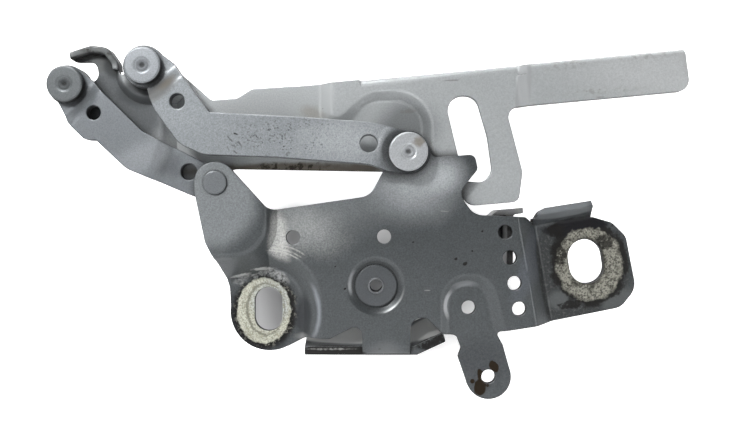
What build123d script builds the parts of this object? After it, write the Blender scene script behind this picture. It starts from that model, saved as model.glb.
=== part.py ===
from build123d import *
from math import cos, radians, sin, tan
import os

# Bonnet hinge of a road vehicle in its closed position.
# X points to the front of the vehicle, Z up, and Y away from the viewer, along the pivots.
# The origin is the centre of the rear body slot, on the face that bears on the vehicle body.
# Lengths are in millimetres and angles in degrees.

# Sheet and bar thicknesses
base_sheet = 3.5
bonnet_sheet = 3.0
link_bar = 4.5
stop_sheet = 2.6

# Clearances
axial_gap = 0.1
running_gap = 0.06
press_gap = 0.02
rest_gap = 2.8

# Depth steps of the base bracket, from the bearing face at y = 0 towards the viewer
pad_drop = 8.0
tab_rise = 6.0
arm_drop = 2.5
dimple_drop = 1.6
pad_y = -base_sheet
plate_y = pad_y - pad_drop
tab_y = plate_y - tab_rise
arm_plate_y = plate_y + arm_drop

# Pivot places at rest, with the front pivot of the base bracket as the reference
front_base_x = 63.5
front_base_z = 71.0
rear_base_x = -22.0
rear_base_z = 57.5
rear_bonnet_x = -89.0
rear_bonnet_z = 101.5
front_bonnet_x = -53.5
front_bonnet_z = 109.0

# Rivets
shaft_r = 4.0
neck_r = 3.5
head_r = 8.0
big_head_r = 8.6
head_height = 3.0
head_chamfer = 0.5
head_mark_rise = 0.2
flat_head_r = 5.3
flat_head_height = 1.2
flat_head_chamfer = 0.4
tail_r = 7.0
tail_height = 2.5
open_tail_r = 8.6
mark_r = 1.5
mark_depth = 1.0
ring_r = 3.2
ring_width = 0.5
ring_depth = 0.25
tail_chamfer_height = 0.7
tail_chamfer_width = 1.1

# Bushes and washers
bush_wall = 1.0
bush_r = shaft_r + running_gap + bush_wall
bush_flange = 0.8
bush_flange_r = 7.0
washer_height = 0.8
washer_r = 7.6
open_pivot_play = 3.7

# Links
link_rise = 3.5
front_end_r = 9.8
rear_end_r = 8.8
link_ramp = 55.0
link_hole_r = 3.4
wide_hole_r = 3.9

# Stack of the front link, counted from the base plate towards the viewer
front_pad_back_y = plate_y - washer_height - axial_gap
front_pad_y = front_pad_back_y - link_bar
front_link_y = front_pad_y - link_rise

# Stack of the rear link, which lies behind the raised tab of the base bracket
rear_pad_y = tab_y + base_sheet + washer_height + axial_gap
rear_pad_back_y = rear_pad_y + link_bar
rear_link_y = rear_pad_y - link_rise

# Levels of the bonnet bracket: arm, seat of the front link, web and bar
web_drop = 3.7
bar_rise = 3.0
bar_end_rise = 2.0
arm_y = rear_pad_back_y + axial_gap + washer_height
seat_y = plate_y
web_y = arm_y + web_drop
bar_y = web_y - bar_rise
bar_end_y = bar_y - bar_end_rise
seat_r = 12.6

# Bonnet flange, which runs back along the top edge of the bar
bar_slope = 5.4
bar_top_x = 36.0
bar_top_z = 104.4
bonnet_flange_depth = 26.0
bonnet_fold_r = 3.6
flange_root = 5.0
finger_lip = 4.0
finger_edge_r = 0.8
bonnet_hole_y = 8.0
bonnet_flange_start = 6.0
bonnet_flange_length = 148.2
bar_height = 19.4
joggle_start = 78.3
joggle_end = 82.0
bonnet_hole_r = 4.5
bonnet_slot_length = 13.0
bonnet_hole_step = 92.0
bonnet_hole_from_start = 24.0

# Hook at the front of the bonnet bracket and the stop that it rests on
hook_heel_x = 93.0
hook_heel_z = 47.4
hook_toe_x = 113.8
hook_toe_z = 49.2
stop_x = 109.0
stop_reach = 7.2
stop_foot_z = 20.0
stop_leaf_z = 31.5
stop_depth = 16.0

# Body slots and pads
rear_pad_x = 0.5
rear_pad_z = -1.0
rear_slot_width = 12.8
rear_slot_length = 20.0
front_slot_width = 16.0
front_slot_length = 20.4
front_slot_x = 146.0
front_slot_z = 22.0
front_slot_tilt = 9.0
pad_r = 18.0

# Flanges of the base bracket: the lower one bends away from the viewer, the top one towards it
lower_flange_z = -20.2
lower_flange_top_z = -16.7
lower_flange_start = 17.0
neck_start = 43.2
neck_width = 21.6
neck_fold_r = 5.0
top_flange_x = 121.2
top_flange_z = 38.0
top_flange_length = 27.2

# Small holes and the clinch nut
small_hole_r = 3.2
row_top_x = 107.5
row_top_z = 35.5
row_step_x = 2.1
row_step_z = -11.5
arm_hole_x = 100.3
arm_hole_z = -30.0
arm_end_r = 10.2
nut_x = 49.3
nut_z = 11.3
nut_flange_r = 9.5
nut_flange_height = 1.3
nut_collar_r = 3.7
nut_collar_height = 0.5
nut_bore_r = 2.75
nut_barrel_r = 5.0
nut_barrel_length = 8.0
nut_chamfer = 0.4

# Forming of the sheets: ramp angles against the view direction, and bend radii
steep_ramp = 38.0
pad_ramp = 47.0
soft_ramp = 58.0
bend_r = 3.0
shallow_bend_r = 1.8
link_bend_r = 5.0
wing_rise = 0.3
wing_depth = 26.0

# Blanks, large enough for every outline, and far planes for cutting through
blank_length = 340.0
blank_height = 200.0
blank_x = 50.0
blank_z = 45.0
deep_y = 40.0
near_y = -60.0
far = 400.0
level_tolerance = 0.01


def face_plane(y):
    """Plane facing the viewer at depth y, with its local x and y along X and Z."""
    return Plane(origin=(0, y, 0), x_dir=(1, 0, 0), z_dir=(0, -1, 0))


def outline(corners):
    """Closed face through (x, z, corner radius) points."""
    with BuildLine(mode=Mode.PRIVATE) as rim:
        FilletPolyline(*[(x, z) for x, z, r in corners], radius=[r for x, z, r in corners], close=True)
    make_face(rim.edges())


def level_edges(edges, *levels):
    """Edges that lie flat at the given depths, away from the sides of the blank."""
    chosen = []
    for edge in edges:
        middle = edge.center()
        flat = edge.bounding_box().size.Y < level_tolerance
        level = min(abs(middle.Y - y) for y in levels) < level_tolerance
        inside_x = abs(middle.X - blank_x) < blank_length / 2 - 1
        inside_z = abs(middle.Z - blank_z) < blank_height / 2 - 1
        if flat and level and inside_x and inside_z:
            chosen.append(edge)
    return chosen


def on_bar(along, up):
    """X and Z of a point given along the top edge of the bar and at right angles to it."""
    slope = radians(bar_slope)
    x = bar_top_x + along * cos(slope) - up * sin(slope)
    z = bar_top_z + along * sin(slope) + up * cos(slope)
    return x, z


def hook_line(x):
    """Height of the underside of the hook."""
    share = (x - hook_heel_x) / (hook_toe_x - hook_heel_x)
    return hook_heel_z + share * (hook_toe_z - hook_heel_z)


# Outline of the base bracket between its round ends
base_corners = [
    (rear_base_x - 9.2, rear_base_z, 0),
    (rear_base_x + 6.6, rear_base_z + 6.4, 0),
    (1.5, 45.3, 6),
    (46.5, 51.8, 8),
    (front_base_x - 9.3, front_base_z - 5, 0),
    (front_base_x - 8.0, front_base_z + 3, 0),
    (front_base_x + 8.0, front_base_z + 3, 0),
    (75.5, 69.2, 3),
    (93.8, 70.5, 3),
    (95.2, 63.8, 2.5),
    (86.5, 53.0, 5),
    (93.5, 43.3, 8),
    (117.5, 42.3, 3),
    (122.0, 38.6, 2),
    (149.0, 42.4, 0),
    (158.0, 39.8, 5),
    (164.4, 33.5, 6),
    (169.0, 9.5, 9),
    (162.0, 0.8, 7),
    (125.5, -6.4, 0),
    (103.6, -9.8, 1.5),
    (106.8, -15.5, 3),
    (arm_hole_x + 10.1, arm_hole_z + 1.5, 0),
    (arm_hole_x - 10.0, arm_hole_z - 2.0, 0),
    (86.5, -21.0, 2),
    (88.0, -17.3, 2),
    (85.8, -11.2, 3),
    (79.4, -10.6, 4),
    (72.0, -3.1, 4),
    (neck_start + neck_width, -3.1, 5.2),
    (neck_start + neck_width, -14.0, 0),
    (neck_start, -14.0, 0),
    (42.8, -5.4, 3.5),
    (28.5, -12.6, 4),
    (17.5, -12.6, 5),
    (9.0, -17.0, 0),
    (-17.2, -1.0, 0),
    (-17.8, 10.0, 8),
    (-21.5, 21.5, 6),
    (-26.4, 31.0, 8),
    (-31.0, 53.0, 8),
]

# Base bracket: one stamping with a raised tab, two sunk pads, a sunk arm and a dimple
with BuildPart() as base_bracket:
    with BuildSketch(face_plane(deep_y)):
        with Locations((blank_x, blank_z)):
            Rectangle(blank_length, blank_height)
    extrude(amount=deep_y - plate_y)
    # Sunk rear pad
    with BuildSketch(face_plane(plate_y)):
        outline([(-far, 27, 0), (24.3, 27, 24), (24.3, -far, 0), (-far, -far, 0)])
    extrude(amount=-pad_drop, taper=pad_ramp, mode=Mode.SUBTRACT)
    fillet(level_edges(base_bracket.edges(Select.LAST), pad_y, plate_y), bend_r)
    # Sunk front pad, past a slanted ramp
    with BuildSketch(face_plane(plate_y)):
        outline([(51.4, far, 0), (189.8, -far, 0), (far, -far, 0), (far, far, 0)])
    extrude(amount=-pad_drop, taper=pad_ramp, mode=Mode.SUBTRACT)
    fillet(level_edges(base_bracket.edges(Select.LAST), pad_y, plate_y), bend_r)
    # Sunk arm with a round emboss at its root
    with BuildSketch(face_plane(plate_y)):
        outline([(79.0, 16.0, 12), (101.0, 16.0, 11), (107.0, -7.0, 6), (116.0, -19, 6),
                 (116.0, -far, 0), (69, -far, 0), (69, -30, 6), (78.2, -12, 6)])
    extrude(amount=-arm_drop, taper=soft_ramp, mode=Mode.SUBTRACT)
    fillet(level_edges(base_bracket.edges(Select.LAST), arm_plate_y, plate_y), bend_r)
    # Dimple that seats the clinch nut
    with BuildSketch(face_plane(plate_y)):
        with Locations((nut_x, nut_z)):
            Circle(nut_flange_r + 3.4)
    extrude(amount=-dimple_drop, taper=soft_ramp, mode=Mode.SUBTRACT)
    fillet(level_edges(base_bracket.edges(Select.LAST), plate_y, plate_y + dimple_drop), shallow_bend_r)
    # Raised tab of the rear pivot, whose ramp runs down to the level of the pad
    with BuildSketch(face_plane(pad_y)):
        outline([(-far, 14, 0), (11, 14, 25), (11, far, 0), (-far, far, 0)])
    extrude(amount=pad_drop + tab_rise, taper=steep_ramp)
    fillet(level_edges(base_bracket.edges(Select.LAST), tab_y), bend_r)
    # The sheet lies between this shape and the same shape set back by one thickness
    add(base_bracket.part.moved(Location((0, base_sheet, 0))), mode=Mode.SUBTRACT)
    with BuildSketch(face_plane(deep_y)):
        outline(base_corners)
        with Locations((rear_base_x, rear_base_z)):
            Circle(rear_end_r + 0.4)
        with Locations((front_base_x, front_base_z)):
            Circle(front_end_r - 0.3)
        with Locations((arm_hole_x, arm_hole_z)):
            Circle(arm_end_r)
        with Locations((rear_pad_x, rear_pad_z)):
            Circle(pad_r)
    extrude(amount=deep_y - near_y, mode=Mode.INTERSECT)
    # Lower flange, bent away from the viewer, with a wing on each side of its root
    with BuildSketch(face_plane(plate_y + 3.0)):
        outline([(lower_flange_start, lower_flange_z, 0.5), (68.0, lower_flange_z, 0),
                 (81.0, lower_flange_z + 6.0, 0.5), (79.4, lower_flange_z + 9.8, 0.5),
                 (66.5, lower_flange_z + 3.9, 0), (lower_flange_start, lower_flange_z + 3.9, 0.5)])
    extrude(amount=wing_depth, dir=(0, 1, wing_rise))
    with BuildSketch(Plane.YZ.offset(neck_start)):
        with BuildLine():
            FilletPolyline((plate_y, -10), (plate_y, lower_flange_z), (pad_y, lower_flange_z),
                           (pad_y, lower_flange_top_z), (plate_y + base_sheet, lower_flange_top_z),
                           (plate_y + base_sheet, -10),
                           radius=[0, neck_fold_r, 0, 0, neck_fold_r - base_sheet, 0], close=True)
        make_face()
    extrude(amount=neck_width)
    # Short flange at the top of the front pad, leaning towards the viewer
    tilt = radians(front_slot_tilt)
    lean = Plane(origin=(top_flange_x, pad_y, top_flange_z), x_dir=(-sin(tilt), 0, cos(tilt)),
                 z_dir=(cos(tilt), 0, sin(tilt)))
    with BuildSketch(lean):
        with BuildLine():
            FilletPolyline((-4, 0), (0, 0), (5.1, 7.2), (7.8, 4.9), (1.7, -base_sheet), (-4, -base_sheet),
                           radius=[0, 2, 0.5, 0.5, 5, 0], close=True)
        make_face()
    extrude(amount=top_flange_length)
    # Rounded shoulder at the rear end of that flange
    with BuildSketch(face_plane(deep_y)):
        outline([(top_flange_x - 1.6, top_flange_z + 3.6, 0), (top_flange_x + 0.4, top_flange_z + 3.6, 0),
                 (top_flange_x + 1.4, top_flange_z + 6.6, 3), (top_flange_x + 6.4, top_flange_z + 9.4, 0),
                 (top_flange_x + 6.4, top_flange_z + 16.0, 0), (top_flange_x - 1.6, top_flange_z + 16.0, 0)])
    extrude(amount=deep_y - near_y, mode=Mode.SUBTRACT)
    # Slots for the body bolts
    with BuildSketch(face_plane(deep_y)):
        SlotOverall(rear_slot_length, rear_slot_width, rotation=90)
        with Locations((front_slot_x, front_slot_z)):
            SlotOverall(front_slot_length, front_slot_width, rotation=90 + front_slot_tilt)
        with Locations(*[(row_top_x + i * row_step_x, row_top_z + i * row_step_z) for i in range(4)],
                       (53.0, 33.5), (12.0, 33.0), (91.3, 1.3), (arm_hole_x, arm_hole_z)):
            Circle(small_hole_r)
        with Locations((nut_x, nut_z)):
            Circle(nut_barrel_r + press_gap)
        with Locations((rear_base_x, rear_base_z), (front_base_x, front_base_z)):
            Circle(neck_r + press_gap)
    extrude(amount=deep_y - near_y, mode=Mode.SUBTRACT)

# Outline of the bonnet bracket: hook, bar, saddle, finger and arm
flange_end = bonnet_flange_start + bonnet_flange_length
bonnet_corners = [
    (52.0, 63.2, 0),
    (83.6, 60.5, 4),
    (86.8, 70.3, 0),
    (80.3, 97.5, 6.8),
    (94.8, 97.5, 6.6),
    (100.2, 79.0, 30),
    (103.2, 57.4, 6.5),
    (88.8, 58.8, 2.5),
    (86.6, 53.5, 2.5),
    (hook_heel_x - 0.8, hook_heel_z, 6),
    (hook_toe_x + 0.6, hook_toe_z, 3.5),
    (116.2, 62.8, 9),
    (108.6, 91.9, 4.5),
    on_bar(flange_end + 0.6, -bar_height) + (5.5,),
    on_bar(flange_end, -flange_root) + (0,),
    on_bar(bonnet_flange_start, -flange_root) + (0,),
    on_bar(bonnet_flange_start, 0) + (0,),
    on_bar(0, 0) + (0,),
    (16.0, 102.6, 30),
    (-7.5, 101.2, 5),
    (-14.5, 96.8, 4),
    (-26.3, 95.9, 3),
    (front_bonnet_x + 8.0, front_bonnet_z + 4.0, 0),
    (front_bonnet_x - 8.0, front_bonnet_z - 1.0, 0),
    (-66.2, 105.6, 1.5),
    (-66.9, 112.0, 4),
    (-71.5, 118.7, 5),
    (-79.0, 119.6, 6),
    (-89.0, 116.4, 0.8),
    (-88.4, 113.3, 0.8),
    (-86.0, 112.8, 3),
    (-77.6, 112.8, 4),
    (-76.4, 105.2, 4),
    (rear_bonnet_x + 7.0, rear_bonnet_z + 1.0, 0),
    (rear_bonnet_x - 4.0, rear_bonnet_z - 7.0, 0),
    (-60.5, 72.0, 8),
    (-46.5, 58.9, 5),
    (-32.0, 58.5, 5),
    (-15.5, 64.4, 8),
]

# Bonnet bracket: one stamping, stepped so that it passes behind both links and the base bracket
with BuildPart() as bonnet_bracket:
    with BuildSketch(face_plane(deep_y)):
        with Locations((blank_x, blank_z)):
            Rectangle(blank_length, blank_height)
    extrude(amount=deep_y - bar_end_y)
    # Bar, sunk behind the joggle at its front end
    with BuildSketch(face_plane(bar_end_y)):
        outline([(-far, -far, 0), (-far, far, 0), (89.4, far, 0), (165.0, -far, 0)])
    extrude(amount=-bar_end_rise, taper=soft_ramp, mode=Mode.SUBTRACT)
    fillet(level_edges(bonnet_bracket.edges(Select.LAST), bar_y, bar_end_y), bend_r)
    # Web behind the links, with the pocket that clears the tail of the front pivot
    with BuildSketch(face_plane(bar_y)):
        outline([(-far, -far, 0), (-far, far, 0), (28.8, far, 0), (28.8, 84.0, 2.5),
                 (45.0, 100.2, 17), (75.2, 100.2, 17), (74.6, -far, 0)])
    extrude(amount=-bar_rise, taper=soft_ramp, mode=Mode.SUBTRACT)
    fillet(level_edges(bonnet_bracket.edges(Select.LAST), web_y, bar_y), bend_r)
    # Arm of the rear link
    with BuildSketch(face_plane(web_y)):
        outline([(-far, -far, 0), (-42.0, -far, 0), (-42.0, far, 0), (-far, far, 0)])
    extrude(amount=web_drop, taper=soft_ramp)
    fillet(level_edges(bonnet_bracket.edges(Select.LAST), arm_y), bend_r)
    # Round seat of the front link
    with BuildSketch(face_plane(web_y)):
        with Locations((front_bonnet_x, front_bonnet_z)):
            Circle(seat_r + (web_y - seat_y) * tan(radians(steep_ramp)))
    extrude(amount=web_y - seat_y, taper=steep_ramp)
    fillet(level_edges(bonnet_bracket.edges(Select.LAST), seat_y), shallow_bend_r)
    # The sheet lies between this shape and the same shape set back by one thickness
    add(bonnet_bracket.part.moved(Location((0, bonnet_sheet, 0))), mode=Mode.SUBTRACT)
    with BuildSketch(face_plane(deep_y)):
        outline(bonnet_corners)
        with Locations((rear_bonnet_x, rear_bonnet_z)):
            Circle(rear_end_r)
        with Locations((front_bonnet_x, front_bonnet_z)):
            Circle(front_end_r - 0.6)
    extrude(amount=deep_y - near_y, mode=Mode.INTERSECT)
    with BuildSketch(face_plane(deep_y)):
        with Locations((rear_bonnet_x, rear_bonnet_z)):
            Circle(neck_r + press_gap)
        with Locations((front_bonnet_x, front_bonnet_z)):
            Circle(neck_r + open_pivot_play)
    extrude(amount=deep_y - near_y, mode=Mode.SUBTRACT)
    # Lip of the finger, folded towards the viewer
    with BuildSketch(face_plane(arm_y + bonnet_sheet)):
        outline([(-89.0, 116.4, 0), (-79.0, 119.6, 6), (-71.5, 118.7, 5), (-66.9, 112.0, 4),
                 (-66.6, 108.6, 0), (-69.4, 108.8, 0), (-69.7, 111.2, 3), (-73.2, 115.8, 3),
                 (-79.0, 116.6, 5), (-88.4, 113.5, 0)])
    extrude(amount=bonnet_sheet + finger_lip)
    fillet(level_edges(bonnet_bracket.edges(Select.LAST), arm_y - finger_lip), finger_edge_r)
    # Flange that bolts to the bonnet, in three lengths: its front follows the joggle of the bar
    slope = radians(bar_slope)
    flange_back = bar_y + bonnet_flange_depth
    for start, end, front, next_front in ((bonnet_flange_start, joggle_start, bar_y, bar_y),
                                          (joggle_start, joggle_end, bar_y, bar_end_y),
                                          (joggle_end, flange_end, bar_end_y, bar_end_y)):
        for along, face in ((start, front), (end, next_front)):
            x, z = on_bar(along, 0)
            across = Plane(origin=(x, 0, z), x_dir=(0, 1, 0), z_dir=(cos(slope), 0, sin(slope)))
            back = face + bonnet_sheet
            with BuildSketch(across):
                with BuildLine():
                    FilletPolyline((face, -flange_root), (face, 0), (flange_back, 0),
                                   (flange_back, -bonnet_sheet), (back, -bonnet_sheet),
                                   (back, -flange_root), close=True,
                                   radius=[0, bonnet_fold_r, 0, 0, bonnet_fold_r - bonnet_sheet, 0])
                make_face()
        loft()
    # Round hole and slot for the bonnet bolts
    for along, length in ((0.0, 0.0), (bonnet_hole_step, bonnet_slot_length)):
        x, z = on_bar(bonnet_flange_start + bonnet_hole_from_start + along, 0)
        up = Plane(origin=(x, bonnet_hole_y, z), x_dir=(cos(slope), 0, sin(slope)),
                   z_dir=(-sin(slope), 0, cos(slope)))
        with BuildSketch(up):
            if length > 0:
                SlotOverall(length, 2 * bonnet_hole_r)
            else:
                Circle(bonnet_hole_r)
        extrude(amount=-2 * bonnet_sheet, mode=Mode.SUBTRACT)


def link_form(front_y, body, ends, sunk, holes):
    """Bar of one thickness whose sunk ends lie one rise further from the viewer."""
    with BuildPart() as link:
        with BuildSketch(face_plane(deep_y)):
            with Locations((blank_x, blank_z)):
                Rectangle(blank_length, blank_height)
        extrude(amount=deep_y - front_y)
        for x, z, angle, radius in sunk:
            with BuildSketch(face_plane(front_y)):
                with Locations(Location((x, z, 0), (0, 0, angle))):
                    if radius > 0:
                        Circle(radius)
                    else:
                        Rectangle(far, far, align=(Align.MIN, Align.CENTER))
            extrude(amount=-link_rise, taper=link_ramp, mode=Mode.SUBTRACT)
            edges = level_edges(link.edges(Select.LAST), front_y, front_y + link_rise)
            fillet(edges, link_bend_r)
        add(link.part.moved(Location((0, link_bar, 0))), mode=Mode.SUBTRACT)
        with BuildSketch(face_plane(deep_y)):
            outline(body)
            for x, z, radius in ends:
                with Locations((x, z)):
                    Circle(radius)
        extrude(amount=deep_y - near_y, mode=Mode.INTERSECT)
        with BuildSketch(face_plane(deep_y)):
            with Locations(*[(x, z) for x, z, radius in ends]):
                Circle(bush_r + press_gap)
            for x, z, radius in holes:
                with Locations((x, z)):
                    Circle(radius)
        extrude(amount=deep_y - near_y, mode=Mode.SUBTRACT)
    return link


def turned(x, z, profile):
    """Round piece about a pivot: its profile is given as (radius, y) points."""
    with BuildPart() as piece:
        with BuildSketch(Plane(origin=(x, 0, z), x_dir=(1, 0, 0), z_dir=(0, 0, 1))):
            with BuildLine():
                Polyline(*profile, close=True)
            make_face()
        revolve(axis=Axis((x, 0, z), (0, 1, 0)))
    return piece


def marked_head(y, radius):
    """Face of a disc head with its riveting mark and ring, from the axis to the rim."""
    return [(0, y + mark_depth), (mark_r, y + head_mark_rise), (ring_r - 2 * ring_width, y),
            (ring_r - ring_width, y + ring_depth), (ring_r, y + ring_depth), (ring_r + ring_width, y),
            (radius - head_chamfer, y), (radius, y + head_chamfer), (radius, y + head_height)]


def tail(y, radius):
    """Closed end of a rivet behind the sheet that it holds, from its rim to the axis."""
    return [(radius, y), (radius, y + tail_height - tail_chamfer_height),
            (radius - tail_chamfer_width, y + tail_height), (0, y + tail_height)]


def bush(x, z, pad_y_front, pad_y_back, flange_in_front):
    """Flanged bush pressed into a link."""
    inner = shaft_r + running_gap
    if flange_in_front:
        profile = [(inner, pad_y_front - bush_flange), (bush_flange_r, pad_y_front - bush_flange),
                   (bush_flange_r, pad_y_front), (bush_r, pad_y_front), (bush_r, pad_y_back),
                   (inner, pad_y_back)]
    else:
        profile = [(inner, pad_y_front), (bush_r, pad_y_front), (bush_r, pad_y_back),
                   (bush_flange_r, pad_y_back), (bush_flange_r, pad_y_back + bush_flange),
                   (inner, pad_y_back + bush_flange)]
    return turned(x, z, profile)


def washer(x, z, y):
    """Thrust washer whose far face lies at depth y."""
    inner = shaft_r + 3 * running_gap
    front = y - washer_height
    return turned(x, z, [(inner, front), (washer_r, front), (washer_r, y), (inner, y)])


# Front link: a cranked bar whose two end pads are sunk
front_body = [
    (front_bonnet_x + 7.0, front_bonnet_z + 6.0, 0),
    (-40.8, 110.8, 5),
    (-24.0, 88.3, 1.5),
    (16.0, 86.2, 0),
    (46.5, 84.0, 30),
    (57.0, 81.7, 8),
    (front_base_x + 1.0, front_base_z + 9.6, 0),
    (front_base_x - 1.0, front_base_z - 9.6, 0),
    (54.0, 62.5, 4),
    (46.0, 65.4, 20),
    (5.0, 68.5, 40),
    (-26.5, 69.6, 12),
    (-37.0, 74.2, 10),
    (-47.8, 89.0, 12),
    (front_bonnet_x + 1.0, front_bonnet_z - 9.0, 0),
]
front_link = link_form(
    front_link_y, front_body,
    [(front_base_x, front_base_z, front_end_r), (front_bonnet_x, front_bonnet_z, front_end_r - 0.4)],
    [(front_base_x, front_base_z, 0, 14.6), (front_bonnet_x + 8.3, front_bonnet_z - 11.1, 127, 0)],
    [(-38.0, 93.0, link_hole_r), (46.0, 74.5, wide_hole_r)])

# Rear link: a shorter bar, sunk at the bonnet end and where it passes behind the tab
rear_body = [
    (rear_bonnet_x + 6.3, rear_bonnet_z + 6.0, 0),
    (-77.0, 102.4, 8),
    (-54.5, 80.3, 10),
    (-44.0, 74.8, 8),
    (rear_base_x - 3.6, rear_base_z + 8.0, 0),
    (rear_base_x - 3.0, rear_base_z - 8.3, 0),
    (-33.0, 51.8, 0),
    (-61.5, 63.8, 12),
    (-75.0, 76.4, 1),
    (-79.8, 76.4, 5),
    (-88.5, 85.0, 8),
    (rear_bonnet_x - 4.2, rear_bonnet_z - 7.7, 0),
]
rear_link = link_form(
    rear_link_y, rear_body,
    [(rear_base_x, rear_base_z, rear_end_r), (rear_bonnet_x, rear_bonnet_z, rear_end_r)],
    [(-48.6, 69.8, -19, 0), (rear_bonnet_x + 10.5, rear_bonnet_z - 9.1, 139, 0)],
    [(-76.0, 88.5, small_hole_r), (-34.5, 62.5, wide_hole_r - 0.2)])

# Rivets: a flat head on the tab, and disc heads over the other three pivots
flat_y = tab_y - flat_head_height
rear_tail_y = rear_pad_back_y + bush_flange + axial_gap
rear_base_rivet = turned(
    rear_base_x, rear_base_z,
    [(0, flat_y), (flat_head_r - flat_head_chamfer, flat_y), (flat_head_r, flat_y + flat_head_chamfer),
     (flat_head_r, tab_y), (neck_r, tab_y), (neck_r, tab_y + base_sheet), (shaft_r, tab_y + base_sheet),
     (shaft_r, rear_tail_y)] + tail(rear_tail_y, tail_r))
front_head_y = front_pad_y - bush_flange - axial_gap - head_height
front_base_rivet = turned(
    front_base_x, front_base_z,
    marked_head(front_head_y, big_head_r)
    + [(shaft_r, front_head_y + head_height), (shaft_r, plate_y), (neck_r, plate_y),
       (neck_r, plate_y + base_sheet)]
    + tail(plate_y + base_sheet, tail_r))
rear_head_y = rear_pad_y - bush_flange - axial_gap - head_height
rear_bonnet_rivet = turned(
    rear_bonnet_x, rear_bonnet_z,
    marked_head(rear_head_y, head_r)
    + [(shaft_r, rear_head_y + head_height), (shaft_r, arm_y), (neck_r, arm_y),
       (neck_r, arm_y + bonnet_sheet)]
    + tail(arm_y + bonnet_sheet, tail_r))
open_head_y = front_pad_y - bush_flange - head_height
open_shoulder_y = front_pad_back_y + washer_height
open_tail_y = seat_y + bonnet_sheet + axial_gap
front_bonnet_rivet = turned(
    front_bonnet_x, front_bonnet_z,
    marked_head(open_head_y, head_r)
    + [(shaft_r, open_head_y + head_height), (shaft_r, open_shoulder_y), (neck_r, open_shoulder_y),
       (neck_r, open_tail_y)]
    + tail(open_tail_y, open_tail_r))

# Bushes and thrust washers
rear_base_bush = bush(rear_base_x, rear_base_z, rear_pad_y, rear_pad_back_y, False)
front_base_bush = bush(front_base_x, front_base_z, front_pad_y, front_pad_back_y, True)
rear_bonnet_bush = bush(rear_bonnet_x, rear_bonnet_z, rear_pad_y, rear_pad_back_y, True)
front_bonnet_bush = bush(front_bonnet_x, front_bonnet_z, front_pad_y, front_pad_back_y, True)
rear_base_washer = washer(rear_base_x, rear_base_z, tab_y + base_sheet + washer_height)
front_base_washer = washer(front_base_x, front_base_z, plate_y)
rear_bonnet_washer = washer(rear_bonnet_x, rear_bonnet_z, arm_y)
front_bonnet_washer = washer(front_bonnet_x, front_bonnet_z, open_shoulder_y)

# Clinch nut: a round flange in the dimple, with its threaded barrel behind the plate
nut_seat_y = plate_y + dimple_drop
nut_face_y = nut_seat_y - nut_flange_height
nut_collar_y = nut_face_y - nut_collar_height
nut_end_y = nut_seat_y + nut_barrel_length
clinch_nut = turned(nut_x, nut_z, [
    (nut_bore_r, nut_collar_y), (nut_collar_r - nut_chamfer, nut_collar_y),
    (nut_collar_r, nut_collar_y + nut_chamfer), (nut_collar_r, nut_face_y),
    (nut_flange_r - nut_chamfer, nut_face_y), (nut_flange_r, nut_face_y + nut_chamfer),
    (nut_flange_r, nut_seat_y), (nut_barrel_r, nut_seat_y), (nut_barrel_r, nut_end_y - nut_chamfer),
    (nut_barrel_r - nut_chamfer, nut_end_y), (nut_bore_r, nut_end_y)])

# Closing stop: a bent strip welded to the back of the plate, just under the hook
stop_left = stop_x - 4.1
stop_right = stop_x + stop_reach
roof_left_z = hook_line(stop_left) - rest_gap
roof_z = hook_line(stop_x) - rest_gap
roof_right_z = hook_line(stop_right) - rest_gap
with BuildPart() as closing_stop:
    with BuildSketch(face_plane(plate_y + base_sheet + stop_depth)):
        outline([(stop_left, roof_left_z, 1.5),
                 (stop_right, roof_right_z, 0.5),
                 (stop_right, roof_right_z - stop_sheet, 0.5),
                 (stop_x + stop_sheet, roof_z - stop_sheet, 1.5),
                 (stop_x + stop_sheet, stop_foot_z, 0.5),
                 (stop_x, stop_foot_z, 0.5),
                 (stop_x, roof_z - stop_sheet, 1.5),
                 (stop_left + 1.0, roof_left_z - stop_sheet, 1.0),
                 (stop_left - 3.2, roof_left_z - stop_sheet - 3.0, 0.5),
                 (stop_left - 4.4, roof_left_z - stop_sheet - 1.0, 0.5)])
    extrude(amount=stop_depth)
    # Stiffening leaf behind the roof of the stop
    with BuildSketch(face_plane(plate_y + base_sheet + stop_depth)):
        outline([(stop_left, stop_leaf_z, 1), (stop_x + stop_sheet, stop_leaf_z, 0),
                 (stop_x + stop_sheet, roof_z - stop_sheet / 2, 0),
                 (stop_left, roof_left_z - stop_sheet / 2, 0)])
    extrude(amount=stop_sheet)

# Each piece is written to a file of its own
pieces = {
    "base_bracket": base_bracket,
    "bonnet_bracket": bonnet_bracket,
    "front_link": front_link,
    "rear_link": rear_link,
    "rear_base_rivet": rear_base_rivet,
    "front_base_rivet": front_base_rivet,
    "rear_bonnet_rivet": rear_bonnet_rivet,
    "front_bonnet_rivet": front_bonnet_rivet,
    "rear_base_bush": rear_base_bush,
    "front_base_bush": front_base_bush,
    "rear_bonnet_bush": rear_bonnet_bush,
    "front_bonnet_bush": front_bonnet_bush,
    "rear_base_washer": rear_base_washer,
    "front_base_washer": front_base_washer,
    "rear_bonnet_washer": rear_bonnet_washer,
    "front_bonnet_washer": front_bonnet_washer,
    "clinch_nut": clinch_nut,
    "closing_stop": closing_stop,
}
os.makedirs("parts", exist_ok=True)
for name, piece in pieces.items():
    piece.part.label = name
    export_step(piece.part, "parts/" + name + ".step")
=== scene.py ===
# %% [markdown]
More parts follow.
